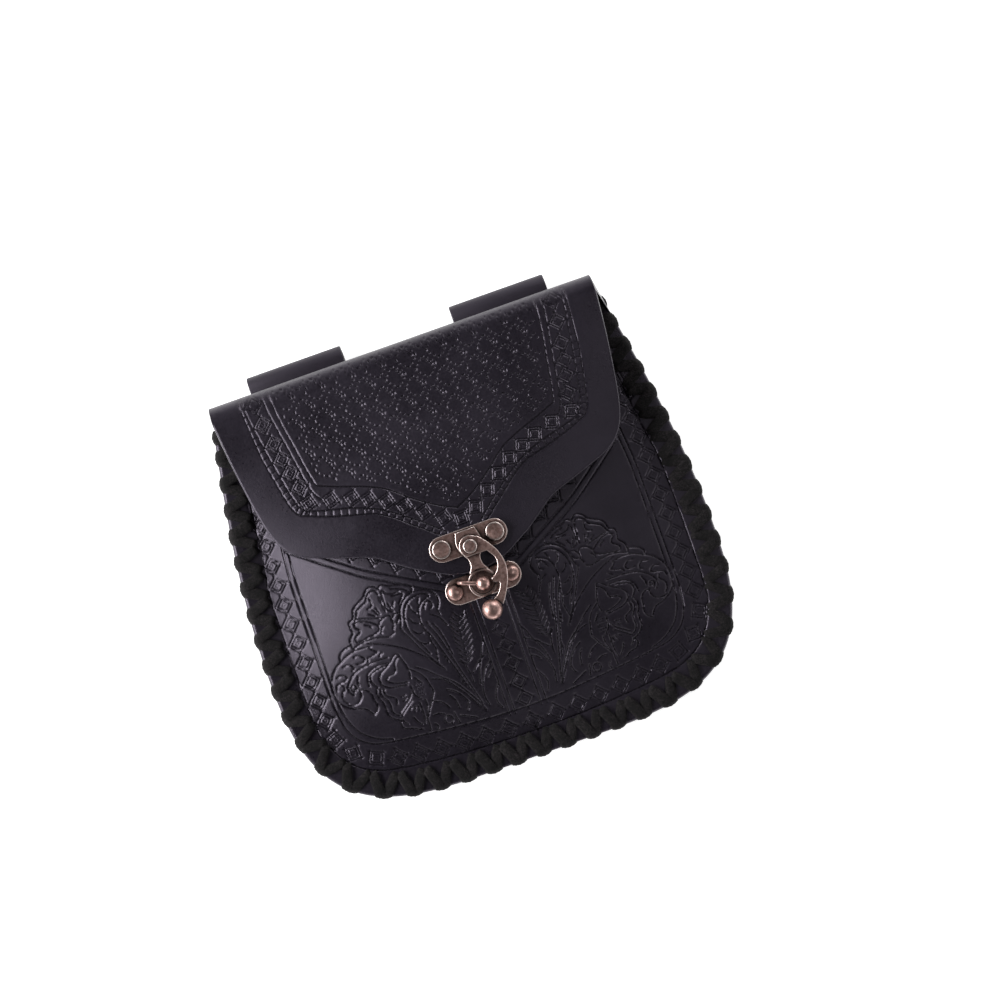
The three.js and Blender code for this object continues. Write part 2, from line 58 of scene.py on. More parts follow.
MM = 0.001
Points = Sequence[tuple[float, float]]
Stroke = Sequence[float]
Height = Callable[[np.ndarray, np.ndarray], np.ndarray]
Colour = tuple[float, float, float, float]
Value = Union[bpy.types.NodeSocket, float, Colour]
FLESH = 1
THREAD = 1
WHITE = (1.0, 1.0, 1.0, 1.0)
RIM_REACH = 2.5
FULL_PRESS = 0.42


def run_along(path: np.ndarray) -> np.ndarray:
    """Distance run along a path at each of its points."""
    return np.concatenate([[0.0], np.cumsum(np.linalg.norm(np.diff(path, axis=0), axis=1))])


@dataclass(frozen=True)
class PouchForm:
    """The pouch's shape: its outline, the crown of its front, its fold and its flap."""

    height: float = 200.7
    width: float = 217.0
    fold_width: float = 185.0
    widest_share: float = 0.63
    leather: float = 2.2
    gap: float = 0.3
    corner_drop_power: float = 2.76
    corner_round_power: float = 4.5
    rim_width: float = 12.0
    mouth_down: float = 13.0
    mouth_crown: float = 9.0
    front_crown: float = 22.0
    crown_down: float = 112.0
    crown_flatness: float = 2.4
    crown_ease: float = 1.25
    flap_length: float = 110.0
    flap_clearance: float = 1.7
    flap_flatness: float = 2.2
    flap_droop: float = 3.0
    pivot_down: float = 98.7
    plate_width: float = 11.8
    edge_samples: int = 260

    @property
    def widest(self) -> float:
        """How far down the body is widest."""
        return self.widest_share * self.height

    @property
    def rim(self) -> float:
        """Height of the middle of the front's leather at its rim."""
        return self.leather * 1.5 + self.gap

    @property
    def front_face(self) -> float:
        """Height of the front's face at the top of its crown."""
        return self.rim + self.front_crown + self.leather / 2

    @property
    def fold_radius(self) -> float:
        """Outer radius of the fold."""
        mouth_face = self.rim + self.mouth_crown + self.leather / 2
        return (mouth_face + self.flap_clearance + self.leather) / 2

    @property
    def flap_start(self) -> float:
        """Height of the middle of the flap's leather where it leaves the fold."""
        return 2 * self.fold_radius - self.leather / 2

    @property
    def flap_top(self) -> float:
        """Height of the middle of the flap's leather at its highest."""
        return self.front_face + self.flap_clearance + self.leather / 2

    def half(self, down: np.ndarray) -> np.ndarray:
        """Half width of the body.

        Args:
            down: distances below the fold.

        Returns:
            The half width at each.
        """
        swell = np.sin(math.pi / 2 * np.minimum(down / self.widest, 1.0))
        above = (self.fold_width + (self.width - self.fold_width) * swell) / 2
        drop = np.clip((down - self.widest) / (self.height - self.widest), 0.0, 1.0)
        below = self.width / 2 * (1 - drop**self.corner_drop_power) ** (1 / self.corner_round_power)
        return np.where(down < self.widest, above, below)

    def edge(self, start: float) -> tuple[np.ndarray, np.ndarray]:
        """The body's edge from its start on the left, round the bottom, to the same height on the right.

        Args:
            start: how far down the edge starts.

        Returns:
            Points (x, y) and the directions that face away from the body, evenly spaced.
        """
        straight = np.linspace(start, self.widest, self.edge_samples)
        turn = np.linspace(0.0, math.pi / 2, self.edge_samples)[1:]
        drop = np.sin(turn) ** (2 / self.corner_drop_power)
        corner = self.width / 2 * np.cos(turn) ** (2 / self.corner_round_power)
        x = np.concatenate([self.half(straight), corner])
        down = np.concatenate([straight, self.widest + (self.height - self.widest) * drop])
        right = np.stack([x, -down], axis=1)
        left = right[:-1] * (-1, 1)
        path = np.concatenate([left, right[::-1]])
        run = run_along(path)
        even = np.linspace(0.0, run[-1], 4 * self.edge_samples)
        path = np.stack([np.interp(even, run, path[:, k]) for k in range(2)], axis=1)
        along = np.gradient(path, axis=0)
        along /= np.hypot(*along.T)[:, None]
        return path, np.stack([along[:, 1], -along[:, 0]], axis=1)

    def crown_half(self, down: np.ndarray) -> np.ndarray:
        """Half width of the crowned part, which is the edge drawn in by the rim.

        Args:
            down: distances below the fold.

        Returns:
            The half width at each.
        """
        path, outward = self.edge(0.0)
        inner = (path - outward * self.rim_width)[2 * self.edge_samples :][::-1]
        return np.interp(down, -inner[:, 1], inner[:, 0], right=0.0)

    def front_height(self, x: np.ndarray, down: np.ndarray) -> np.ndarray:
        """Height of the middle of the front's leather.

        Args:
            x: places across.
            down: their distances below the fold.

        Returns:
            The height at each.
        """
        half = np.maximum(self.crown_half(down), 1e-6)
        rise = np.sin(math.pi / 2 * (down - self.mouth_down) / (self.crown_down - self.mouth_down))
        upper = self.mouth_crown + (self.front_crown - self.mouth_crown) * rise
        bottom = self.height - self.rim_width
        fall = np.clip((down - self.crown_down) / (bottom - self.crown_down), 0.0, 1.0)
        lower = self.front_crown * (1 - fall**2) ** self.crown_ease
        share = np.minimum(np.abs(x) / half, 1.0) ** self.crown_flatness
        return self.rim + np.where(down < self.crown_down, upper, lower) * (1 - share) ** self.crown_ease

    def flap_height(self, x: np.ndarray, down: np.ndarray) -> np.ndarray:
        """Height of the middle of the flap's leather.

        Args:
            x: places across.
            down: their distances below the fold.

        Returns:
            The height at each.
        """
        level = self.pivot_down + self.plate_width / 2
        run = np.clip((down - self.fold_radius) / (level - self.fold_radius), 0.0, 1.0)
        crest = self.flap_start + (self.flap_top - self.flap_start) * np.sin(math.pi / 2 * run)
        side = np.abs(x) / (self.fold_width / 2)
        droop = self.flap_droop * (down / self.flap_length) ** 2 * side**3
        return self.flap_start + (crest - self.flap_start) * (1 - side**self.flap_flatness) - droop


FORM = PouchForm()
PIVOT_HEIGHT = 35.0


def lie_matrix() -> Matrix:
    """Finds how the pouch lies, from the place and the axis of the lever's joint.

    Returns:
        The turn and place that carry the pouch's own millimetres into the row frame's metres.
    """
    joint = next(j for j in frame["joints"] if j["name"] == "lever_pivot")
    tilt = math.atan2(-joint["axis"][1], joint["axis"][2])
    turn = Matrix.Rotation(tilt, 4, "X") @ Matrix.Scale(MM, 4)
    pivot = turn @ Vector((0.0, -FORM.pivot_down, PIVOT_HEIGHT))
    return Matrix.Translation(Vector(joint["pos_m"]) - pivot) @ turn


LIE = lie_matrix()


class Body(Enum):
    """The bodies that pieces ride on."""

    POUCH = "pouch"
    LEVER = "lever"


def smooth_path(points: Points, step: float = 0.7) -> np.ndarray:
    """A smooth curve through points.

    Args:
        points: the points that it passes through.
        step: about how far apart its own points are.

    Returns:
        Points along the curve.
    """
    given = np.asarray(points, dtype=float)
    given = np.vstack([2 * given[0] - given[1], given, 2 * given[-1] - given[-2]])
    parts = []
    for i in range(1, len(given) - 2):
        a, b, c, d = given[i - 1 : i + 3]
        count = max(2, int(np.linalg.norm(c - b) / step) + 1)
        t = np.linspace(0.0, 1.0, count, endpoint=False)[:, None]
        curve = 2 * b + (c - a) * t + (2 * a - 5 * b + 4 * c - d) * t**2 + (3 * b - a - 3 * c + d) * t**3
        parts.append(curve / 2)
    parts.append(given[-2][None])
    return np.vstack(parts)


def distance_to(path: np.ndarray, places: np.ndarray) -> np.ndarray:
    """How far places lie from a path of straight stretches.

    Args:
        path: the path's points.
        places: the places.

    Returns:
        The distance of each place.
    """
    start, along = path[:-1], np.diff(path, axis=0)
    length = np.maximum((along**2).sum(1), 1e-9)
    away = places[:, None] - start[None]
    share = np.clip((away * along[None]).sum(2) / length, 0.0, 1.0)
    return np.sqrt(((away - along[None] * share[..., None]) ** 2).sum(2)).min(1)


def inside(outline: np.ndarray, places: np.ndarray) -> np.ndarray:
    """Whether places lie inside a closed outline.

    Args:
        outline: the outline's points.
        places: the places.

    Returns:
        True for each place inside.
    """
    result = np.zeros(len(places), dtype=bool)
    for (x0, y0), (x1, y1) in zip(outline, np.roll(outline, -1, axis=0)):
        if y0 == y1:
            continue
        crosses = (y0 > places[:, 1]) != (y1 > places[:, 1])
        where = x0 + (places[:, 1] - y0) * (x1 - x0) / (y1 - y0)
        result ^= crosses & (places[:, 0] < where)
    return result


@dataclass
class Tooling:
    """Grooves and pits pressed into one face of leather.

    They are charted as they look from the camera's place, square on to the pouch, and carried on to the
    crowned leather along the lines of sight.
    """

    height: str = "front_height"
    middle: float = 0.0
    camera_across: float = 19.5
    camera_down: float = 83.7
    camera_away: float = 1086.0
    sight_steps: int = 2
    part_points: int = 10
    wall_power: float = 1.3
    marks: list[tuple[np.ndarray, float, float]] = field(default_factory=list)

    def on_leather(self, points: Points) -> np.ndarray:
        """Carries points on to the leather.

        Args:
            points: places across and down, charted as the camera sees them.

        Returns:
            Places across and down on the leather.
        """
        seen = np.asarray(points, dtype=float) - (self.middle, 0.0)
        centre = np.array([self.camera_across, self.camera_down])
        place = seen
        for _ in range(self.sight_steps):
            height = getattr(FORM, self.height)(place[:, 0], np.maximum(place[:, 1], FORM.mouth_down))
            nearer = 1 - (height - FORM.rim) / self.camera_away
            place = centre + (seen - centre) * nearer[:, None]
        return place

    def groove(self, points: Points, width: float, depth: float) -> None:
        """Presses a smooth line."""
        self.marks.append((self.on_leather(smooth_path(points)), width / 2, depth))

    def mirrored(self, points: Points) -> list[np.ndarray]:
        """Points and their mirror image across the tooling's middle."""
        given = np.asarray(points, dtype=float)
        return [given, given * (-1, 1) + (2 * self.middle, 0)]

    def grooves(self, points: Points, width: float = 1.15, depth: float = 0.45) -> None:
        """Presses a smooth line and its mirror image."""
        for side in self.mirrored(points):
            self.groove(side, width, depth)

    def straight(self, points: Points, width: float = 1.0, depth: float = 0.42) -> None:
        """Presses a line with corners."""
        self.marks.append((self.on_leather(points), width / 2, depth))

    def pits(self, centres: Points, radius: float = 0.6, depth: float = 0.4) -> None:
        """Presses round dots."""
        for place in self.on_leather(centres):
            self.marks.append((np.stack([place, place + (0.01, 0.0)]), radius, depth))

    def lozenge(self, centre: tuple[float, float], half: float, degrees: float = 0.0) -> None:
        """Presses three diamonds, one inside the other; the outer one's corners run on a little.

        Args:
            centre: the middle, across and down.
            half: half the outer diamond's width.
            degrees: how far it is turned.
        """
        turn = math.radians(degrees)
        axes = np.array([[math.cos(turn), math.sin(turn)], [-math.sin(turn), math.cos(turn)]])
        corners = np.array([[1, 0], [0, 1], [-1, 0], [0, -1]], dtype=float)
        for share, over in ((1.0, 0.12), (0.64, 0.0)):
            for a, b in zip(corners, np.roll(corners, -1, axis=0)):
                ends = np.array([a + (a - b) * over, b + (b - a) * over]) * half * share
                self.straight(ends @ axes + centre, width=0.9, depth=0.36)
        small = np.array([[0.22, 0], [0, 0.22], [-0.22, 0], [0, -0.22], [0.22, 0]]) * half
        self.straight(small @ axes + centre, width=0.9, depth=0.2)

    def lozenges(self, centre: tuple[float, float], half: float, degrees: float = 0.0) -> None:
        """Presses a diamond, and its mirror image turned the other way."""
        for side, turn in zip(self.mirrored([centre]), (degrees, -degrees)):
            self.lozenge(side[0], half, turn)

    def depth_at(self, x: np.ndarray, down: np.ndarray) -> np.ndarray:
        """How deep the leather is pressed.

        Args:
            x: places across.
            down: their distances below the fold.

        Returns:
            The depth at each, in millimetres.
        """
        places = np.stack([x.ravel(), down.ravel()], axis=1)
        across, below = places.T
        depth = np.zeros(len(places))
        for path, half, amount in self.marks:
            for start in range(0, len(path) - 1, self.part_points):
                part = path[start : start + self.part_points + 1]
                low, high = part.min(0) - half, part.max(0) + half
                close = (across > low[0]) & (across < high[0]) & (below > low[1]) & (below < high[1])
                near = np.flatnonzero(close)
                if len(near) == 0:
                    continue
                share = np.clip(1 - (distance_to(part, places[near]) / half) ** 2, 0.0, 1.0)
                depth[near] = np.maximum(depth[near], amount * share**self.wall_power)
        return depth.reshape(x.shape)


@dataclass
class Skin:
    """A grid of places on the middle of the leather, with the direction that faces out."""

    middle: np.ndarray
    outward: np.ndarray

    def at(self, offset: np.ndarray) -> np.ndarray:
        """The grid moved out by an offset."""
        return self.middle + self.outward * np.asarray(offset)[..., None]


def sloped(x: np.ndarray, down: np.ndarray, height: Height) -> Skin:
    """A skin over places whose height is a function of both.

    Args:
        x: places across.
        down: their distances below the fold.
        height: the height of the leather's middle.

    Returns:
        The skin.
    """
    step = 0.25
    z = height(x, down)
    slope_x = (height(x + step, down) - height(x - step, down)) / (2 * step)
    slope_down = (height(x, down + step) - height(x, down - step)) / (2 * step)
    outward = np.stack([-slope_x, slope_down, np.ones_like(z)], axis=-1)
    outward /= np.linalg.norm(outward, axis=-1)[..., None]
    return Skin(np.stack([x, -down, z], axis=-1), outward)


def add_grid(bm: bmesh.types.BMesh, places: np.ndarray) -> None:
    """Adds a grid whose points stand at given places, row by row.

    Args:
        bm: the bmesh that takes it.
        places: a place for each row and column.
    """
    rows, columns = places.shape[:2]
    grid = bmesh.new()
    bmesh.ops.create_grid(grid, x_segments=columns - 1, y_segments=rows - 1, size=1.0)
    mesh = bpy.data.meshes.new("grid")
    grid.to_mesh(mesh)
    grid.free()
    flat = np.empty(len(mesh.vertices) * 3)
    mesh.vertices.foreach_get("co", flat)
    flat = flat.reshape(-1, 3)
    j = np.rint((flat[:, 0] + 1) / 2 * (columns - 1)).astype(int)
    i = np.rint((flat[:, 1] + 1) / 2 * (rows - 1)).astype(int)
    mesh.vertices.foreach_set("co", places[i, j].ravel())
    bm.from_mesh(mesh)
    bpy.data.meshes.remove(mesh)


def leather_wall(outer: np.ndarray, inner: np.ndarray) -> bmesh.types.BMesh:
    """A closed wall between a fine outer face and a plainer inner one, whose faces are the flesh side.

    Args:
        outer: the outer face's places, row by row.
        inner: the inner face's places, row by row.

    Returns:
        The wall, with the outer face's points first.
    """
    bm = bmesh.new()
    for places in (outer, inner):
        add_grid(bm, places)
    border = [edge for edge in bm.edges if edge.is_boundary]
    bmesh.ops.bridge_loops(bm, edges=border)
    bmesh.ops.recalc_face_normals(bm, faces=bm.faces)
    bm.verts.index_update()
    for face in bm.faces:
        if min(vert.index for vert in face.verts) >= outer.shape[0] * outer.shape[1]:
            face.material_index = FLESH
    return bm


def close(bm: bmesh.types.BMesh) -> None:
    """Joins points that lie in one place, and turns every face outward."""
    bmesh.ops.remove_doubles(bm, verts=bm.verts, dist=1e-4)
    bmesh.ops.recalc_face_normals(bm, faces=bm.faces)


def soften(
    bm: bmesh.types.BMesh, edges: list[bmesh.types.BMEdge], offset: float, segments: int
) -> list[bmesh.types.BMVert]:
    """Rounds edges off and returns the points that this makes."""
    shape = {"affect": "EDGES", "profile": 0.5, "material": -1}
    return bmesh.ops.bevel(bm, geom=edges, offset=offset, segments=segments, **shape)["verts"]


def made(geometry: Sequence[object], kind: type) -> list:
    """The verts, edges or faces among what an operator made."""
    return [part for part in geometry if isinstance(part, kind)]


def bulged(turn: np.ndarray, power: float) -> np.ndarray:
    """A circle's places x and y at given turns, drawn in to a diamond or out to a square by a power."""
    circle = np.stack([np.cos(turn), np.sin(turn)], axis=1)
    return np.sign(circle) * np.abs(circle) ** power


def eased(share: np.ndarray) -> np.ndarray:
    """A share between 0 and 1 that starts and ends softly."""
    held = np.clip(share, 0.0, 1.0)
    return held**2 * (3 - 2 * held)


def rounded(distance: np.ndarray, radius: float) -> np.ndarray:
    """How far a face sinks near an edge that is rounded off to a radius."""
    short = np.clip(1 - distance / radius, 0.0, 1.0)
    return radius * (1 - np.sqrt(1 - short**2))


def make_piece(
    bm: bmesh.types.BMesh,
    name: str,
    materials: Sequence[bpy.types.Material],
    body: Body,
    stands_for: Sequence[str],
    sharp_degrees: float = 38.0,
    values: Optional[dict[str, np.ndarray]] = None,
) -> bpy.types.Object:
    """Turns a bmesh in the pouch's millimetres into a piece in the row frame.

    Args:
        bm: the shape, which is freed.
        name: the piece's name.
        materials: its materials, in the order of its faces' material indices.
        body: the body that it rides on.
        stands_for: the solids that it replaces.
        sharp_degrees: edges that turn by more stay sharp.
        values: point attributes by name, for as many of the first points as they hold.

    Returns:
        The piece.
    """
    mesh = bpy.data.meshes.new(name)
    bm.to_mesh(mesh)
    bm.free()
    for key, numbers in (values or {}).items():
        whole = np.zeros(len(mesh.vertices))
        whole[: len(numbers)] = numbers
        mesh.attributes.new(key, "FLOAT", "POINT").data.foreach_set("value", whole)
    mesh.transform(LIE)
    mesh.shade_smooth()
    mesh.set_sharp_from_angle(angle=math.radians(sharp_degrees))
    for material in materials:
        mesh.materials.append(material)
    piece = bpy.data.objects.new(name, mesh)
    bpy.context.scene.collection.objects.link(piece)
    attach(piece, body.value)
    if stands_for:
        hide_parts(*stands_for)
    log.info("%s: %d faces", name, len(mesh.polygons))
    return piece


class Nodes:
    """A short hand for one node tree: adds nodes, sets plain values and joins sockets."""

    def __init__(self, tree: bpy.types.NodeTree) -> None:
        """Keeps the tree."""
        self.tree = tree

    def add(self, kind: str, settings: Optional[dict[str, object]] = None, **inputs: Value) -> bpy.types.Node:
        """Adds a node.

        Args:
            kind: the node's type, without the words ShaderNode.
            settings: the node's own settings.
            inputs: values or sockets by input name, with _ for a space.

        Returns:
            The node.
        """
        node = self.tree.nodes.new(f"ShaderNode{kind}")
        for key, value in (settings or {}).items():
            setattr(node, key, value)
        for key, value in inputs.items():
            self.feed(node.inputs[key.replace("_", " ")], value)
        return node

    def feed(self, socket: bpy.types.NodeSocket, value: Value) -> None:
        """Joins a socket to another, or sets its plain value.

        Args:
            socket: the socket that takes it.
            value: another socket or a plain value.
        """
        if isinstance(value, bpy.types.NodeSocket):
            self.tree.links.new(value, socket)
        else:
            socket.default_value = value

    def sum(self, operation: str, a: Value, b: Value, clamp: bool = False) -> bpy.types.NodeSocket:
        """One sum of two values.

        Args:
            operation: what is done with them.
            a: the first.
            b: the second.
            clamp: whether the result is kept between 0 and 1.

        Returns:
            The result's socket.
        """
        node = self.add("Math", {"operation": operation, "use_clamp": clamp})
        self.feed(node.inputs[0], a)
        self.feed(node.inputs[1], b)
        return node.outputs[0]

    def mix(self, share: Value, a: Value, b: Value) -> bpy.types.NodeSocket:
        """A colour between two colours.

        Args:
            share: how much of the second it has.
            a: the first.
            b: the second.

        Returns:
            The colour's socket.
        """
        node = self.add("Mix", {"data_type": "RGBA"})
        self.feed(node.inputs["Factor"], share)
        self.feed(node.inputs[6], a)
        self.feed(node.inputs[7], b)
        return node.outputs[2]

    def ramp(
        self, value: Value, low: float, high: float, from_low: float = 0.0, from_high: float = 1.0
    ) -> bpy.types.NodeSocket:
        """A value carried from one range to another.

        Args:
            value: the value.
            low: what the lowest becomes.
            high: what the highest becomes.
            from_low: the lowest.
            from_high: the highest.

        Returns:
            The result's socket.
        """
        ends = {"From_Min": from_low, "From_Max": from_high, "To_Min": low, "To_Max": high}
        return self.add("MapRange", None, Value=value, **ends).outputs[0]

    def noise(self, place: Value, scale: Value, detail: float = 3.0) -> bpy.types.NodeSocket:
        """Noise on a place."""
        return self.add("TexNoise", None, Vector=place, Scale=scale, Detail=detail).outputs["Fac"]

    def attribute(self, name: str) -> bpy.types.NodeSocket:
        """A point attribute's value."""
        return self.add("Attribute", {"attribute_name": name}).outputs["Fac"]


def group_tree(name: str, inputs: dict[str, float], outputs: dict[str, str]) -> bpy.types.NodeTree:
    """An empty shader group that takes a place and values.

    Args:
        name: the group's name.
        inputs: its values by name, with what they are unless set.
        outputs: its outputs' socket types by name.

    Returns:
        The group.
    """
    tree = bpy.data.node_groups.new(name, "ShaderNodeTree")
    tree.interface.new_socket("Place", in_out="INPUT", socket_type="NodeSocketVector")
    for key, value in inputs.items():
        socket = tree.interface.new_socket(key, in_out="INPUT", socket_type="NodeSocketFloat")
        socket.default_value = value
    for key, kind in outputs.items():
        tree.interface.new_socket(key, in_out="OUTPUT", socket_type=kind)
    return tree


def grain_group() -> bpy.types.NodeTree:
    """Leather grain: small pebbles broken by pores, with a slow mottle beside it.

    Returns:
        The group, which puts out a height and the mottle.
    """
    tree = group_tree(
        "leather grain",
        {"Pebbles": 1500.0, "Pores": 4200.0, "Mottle": 30.0},
        {"Height": "NodeSocketFloat", "Mottle": "NodeSocketFloat"},
    )
    n = Nodes(tree)
    given = tree.nodes.new("NodeGroupInput").outputs
    place = given["Place"]
    smooth = {"feature": "SMOOTH_F1"}
    cells = n.add("TexVoronoi", smooth, Vector=place, Scale=given["Pebbles"], Randomness=1.0)
    pores = n.noise(place, given["Pores"], 2.0)
    mottle = n.noise(place, given["Mottle"], 4.0)
    pebbles = n.sum("MULTIPLY", cells.outputs["Distance"], 0.6)
    out = tree.nodes.new("NodeGroupOutput")
    n.feed(out.inputs["Height"], n.sum("ADD", pebbles, pores))
    n.feed(out.inputs["Mottle"], mottle)
    return tree


def new_material(name: str) -> tuple[bpy.types.Material, Nodes, bpy.types.Node, bpy.types.NodeSocket]:
    """Starts a material.

    Args:
        name: the material's name.

    Returns:
        The material, its nodes, its shader and its place in the Object's own coordinates.
    """
    material = bpy.data.materials.new(name)
    material.use_nodes = True
    n = Nodes(material.node_tree)
    shader = material.node_tree.nodes["Principled BSDF"]
    place = n.add("TexCoord").outputs["Object"]
    return material, n, shader, place


@dataclass(frozen=True)
class DyedLeather:
    """Black dyed leather, satin on its grain side, burnished on its rim, with painted shade darkening its
    tooled grooves.
    """

    name: str
    dark: Colour = (0.0082, 0.0066, 0.0102, 1.0)
    light: Colour = (0.0135, 0.0112, 0.0168, 1.0)
    # Painted shade colour for the tooled grooves.
    groove: Colour = (0.0025, 0.002, 0.003, 1.0)
    edge: Colour = (0.03, 0.026, 0.035, 1.0)
    glint: Colour = (0.92, 0.82, 1.0, 1.0)
    shine: float = 0.335
    grain_depth: float = 0.00012
    grain_strength: float = 0.5

    def material(self, grain: bpy.types.NodeTree) -> bpy.types.Material:
        """Builds the material.

        Args:
            grain: the leather grain group.

        Returns:
            The material.
        """
        material, n, shader, place = new_material(self.name)
        skin = n.add("Group", {"node_tree": grain}, Place=place)
        pressed = n.attribute("tooling")
        rim = n.attribute("edge")
        blotch = n.ramp(skin.outputs["Mottle"], 0.0, 1.0, 0.35, 0.65)
        speck = n.ramp(n.noise(place, 1150.0), -0.3, 0.35, 0.3, 0.7)
        colour = n.mix(n.sum("ADD", blotch, speck, clamp=True), self.dark, self.light)
        # Painted shade: the colour darkens towards the groove colour as deep as the leather is tooled; the
        # lower roughness there is the compacted leather's own.
        colour = n.mix(n.sum("MULTIPLY", pressed, 0.8), colour, self.groove)
        colour = n.mix(n.sum("MULTIPLY", rim, 0.7), colour, self.edge)
        n.feed(shader.inputs["Base Color"], colour)
        mottled = n.ramp(skin.outputs["Mottle"], self.shine - 0.04, self.shine + 0.06, 0.3, 0.7)
        compact = n.sum("ADD", mottled, n.sum("MULTIPLY", pressed, -0.12))
        burnished = n.sum("ADD", compact, n.sum("MULTIPLY", rim, -0.16))
        n.feed(shader.inputs["Roughness"], n.sum("ADD", burnished, n.sum("MULTIPLY", speck, 0.2)))
        height = skin.outputs["Height"]
        bump = n.add("Bump", None, Height=height, Distance=self.grain_depth, Strength=self.grain_strength)
        n.feed(shader.inputs["Normal"], bump.outputs[0])
        shader.inputs["Specular Tint"].default_value = self.glint
        return material


@dataclass(frozen=True)
class Suede:
    """The matt, fibrous side of leather, with painted shade that darkens it in crevices and where laces meet.
    """

    name: str
    dark: Colour = (0.0018, 0.0016, 0.0017, 1.0)
    light: Colour = (0.047, 0.039, 0.043, 1.0)
    fibre_depth: float = 0.0004
    # How far the painted shade in crevices reaches.
    painted_shade_reach: float = 0.0022

    def material(self) -> bpy.types.Material:
        """Builds the material.

        Returns:
            The material.
        """
        material, n, shader, place = new_material(self.name)
        rough = {"Roughness": 0.75, "Distortion": 0.8}
        fibres = n.add("TexNoise", None, Vector=place, Scale=1300.0, Detail=5.0, **rough)
        patch = n.ramp(n.noise(place, 160.0), 0.25, 0.85, 0.3, 0.7)
        share = n.sum("MULTIPLY", n.ramp(fibres.outputs["Fac"], 0.0, 1.0, 0.44, 0.64), patch)
        # Painted shade: the colour darkens to the dark tone where the surface is hemmed in, between laces and
        # where they dive into their holes.
        painted_shade_ao = n.add("AmbientOcclusion", {"samples": 6}, Distance=self.painted_shade_reach).outputs["AO"]
        unshaded_share = n.ramp(painted_shade_ao, 0.0, 1.0, 0.35, 0.95)
        fibre_colour = n.mix(share, self.dark, self.light)
        n.feed(shader.inputs["Base Color"], n.mix(unshaded_share, self.dark, fibre_colour))
        n.feed(shader.inputs["Roughness"], n.ramp(fibres.outputs["Fac"], 0.75, 0.98, 0.3, 0.7))
        bump = n.add("Bump", None, Height=fibres.outputs["Fac"], Distance=self.fibre_depth, Strength=0.8)
        n.feed(shader.inputs["Normal"], bump.outputs[0])
        dull = {"Specular IOR Level": 0.22, "Sheen Weight": 0.04, "Sheen Roughness": 0.5}
        for key, value in dull.items():
            shader.inputs[key].default_value = value
        return material


@dataclass(frozen=True)
class AntiqueCopper:
    """Copper plate that was darkened and then rubbed bright on its edges, with painted shade near black in
    its hollows.
    """

    name: str = "antique copper"
    dark: Colour = (0.3, 0.185, 0.165, 1.0)
    warm: Colour = (0.62, 0.41, 0.37, 1.0)
    bright: Colour = (0.88, 0.76, 0.72, 1.0)
    # Painted shade colour for the hollows, under the ring and round the post.
    black: Colour = (0.012, 0.008, 0.007, 1.0)
    # How far the painted shade in hollows reaches.
    painted_shade_reach: float = 0.005

    def material(self) -> bpy.types.Material:
        """Builds the material.

        Returns:
            The material.
        """
        material, n, shader, place = new_material(self.name)
        cloud = n.noise(place, 520.0, 5.0)
        speck = n.noise(place, 2600.0, 2.0)
        rubbed = n.attribute("wear")
        tarnish = n.mix(n.ramp(cloud, 0.0, 1.0, 0.38, 0.6), self.dark, self.warm)
        rub = n.sum("MULTIPLY", rubbed, n.ramp(speck, 0.55, 1.0, 0.3, 0.6), clamp=True)
        # Painted shade: the colour darkens to near black where the metal is hemmed in, as under the ring and
        # round the post ball.
        painted_shade_ao = n.add("AmbientOcclusion", {"samples": 8}, Distance=self.painted_shade_reach).outputs["AO"]
        rubbed_colour = n.mix(rub, tarnish, self.bright)
        unshaded_share = n.ramp(painted_shade_ao, 0.0, 1.0, 0.55, 0.9)
        n.feed(shader.inputs["Base Color"], n.mix(unshaded_share, self.black, rubbed_colour))
        rough = n.sum("ADD", n.ramp(cloud, 0.46, 0.32, 0.3, 0.7), n.sum("MULTIPLY", rub, -0.14))
        n.feed(shader.inputs["Roughness"], rough)
        bump = n.add("Bump", None, Height=speck, Distance=0.00003, Strength=0.4)
        n.feed(shader.inputs["Normal"], bump.outputs[0])
        shader.inputs["Metallic"].default_value = 1.0
        return material


THREAD_LIGHT = (0.03, 0.028, 0.03, 1.0)


@dataclass
class Finishes:
    """Every material that the pouch wears."""

    body: bpy.types.Material
    strap: bpy.types.Material
    flesh: bpy.types.Material
    lace: bpy.types.Material
    thread: bpy.types.Material
    copper: bpy.types.Material

    @classmethod
    def build(cls) -> "Finishes":
        """Builds them all.

        Returns:
            The materials.
        """
        grain = grain_group()
        return cls(
            body=DyedLeather("tooled leather").material(grain),
            strap=DyedLeather("strap leather", shine=0.5).material(grain),
            flesh=Suede("flesh side").material(),
            lace=Suede("suede lace").material(),
            thread=Suede("waxed thread", light=THREAD_LIGHT, fibre_depth=0.0001).material(),
            copper=AntiqueCopper().material(),
        )


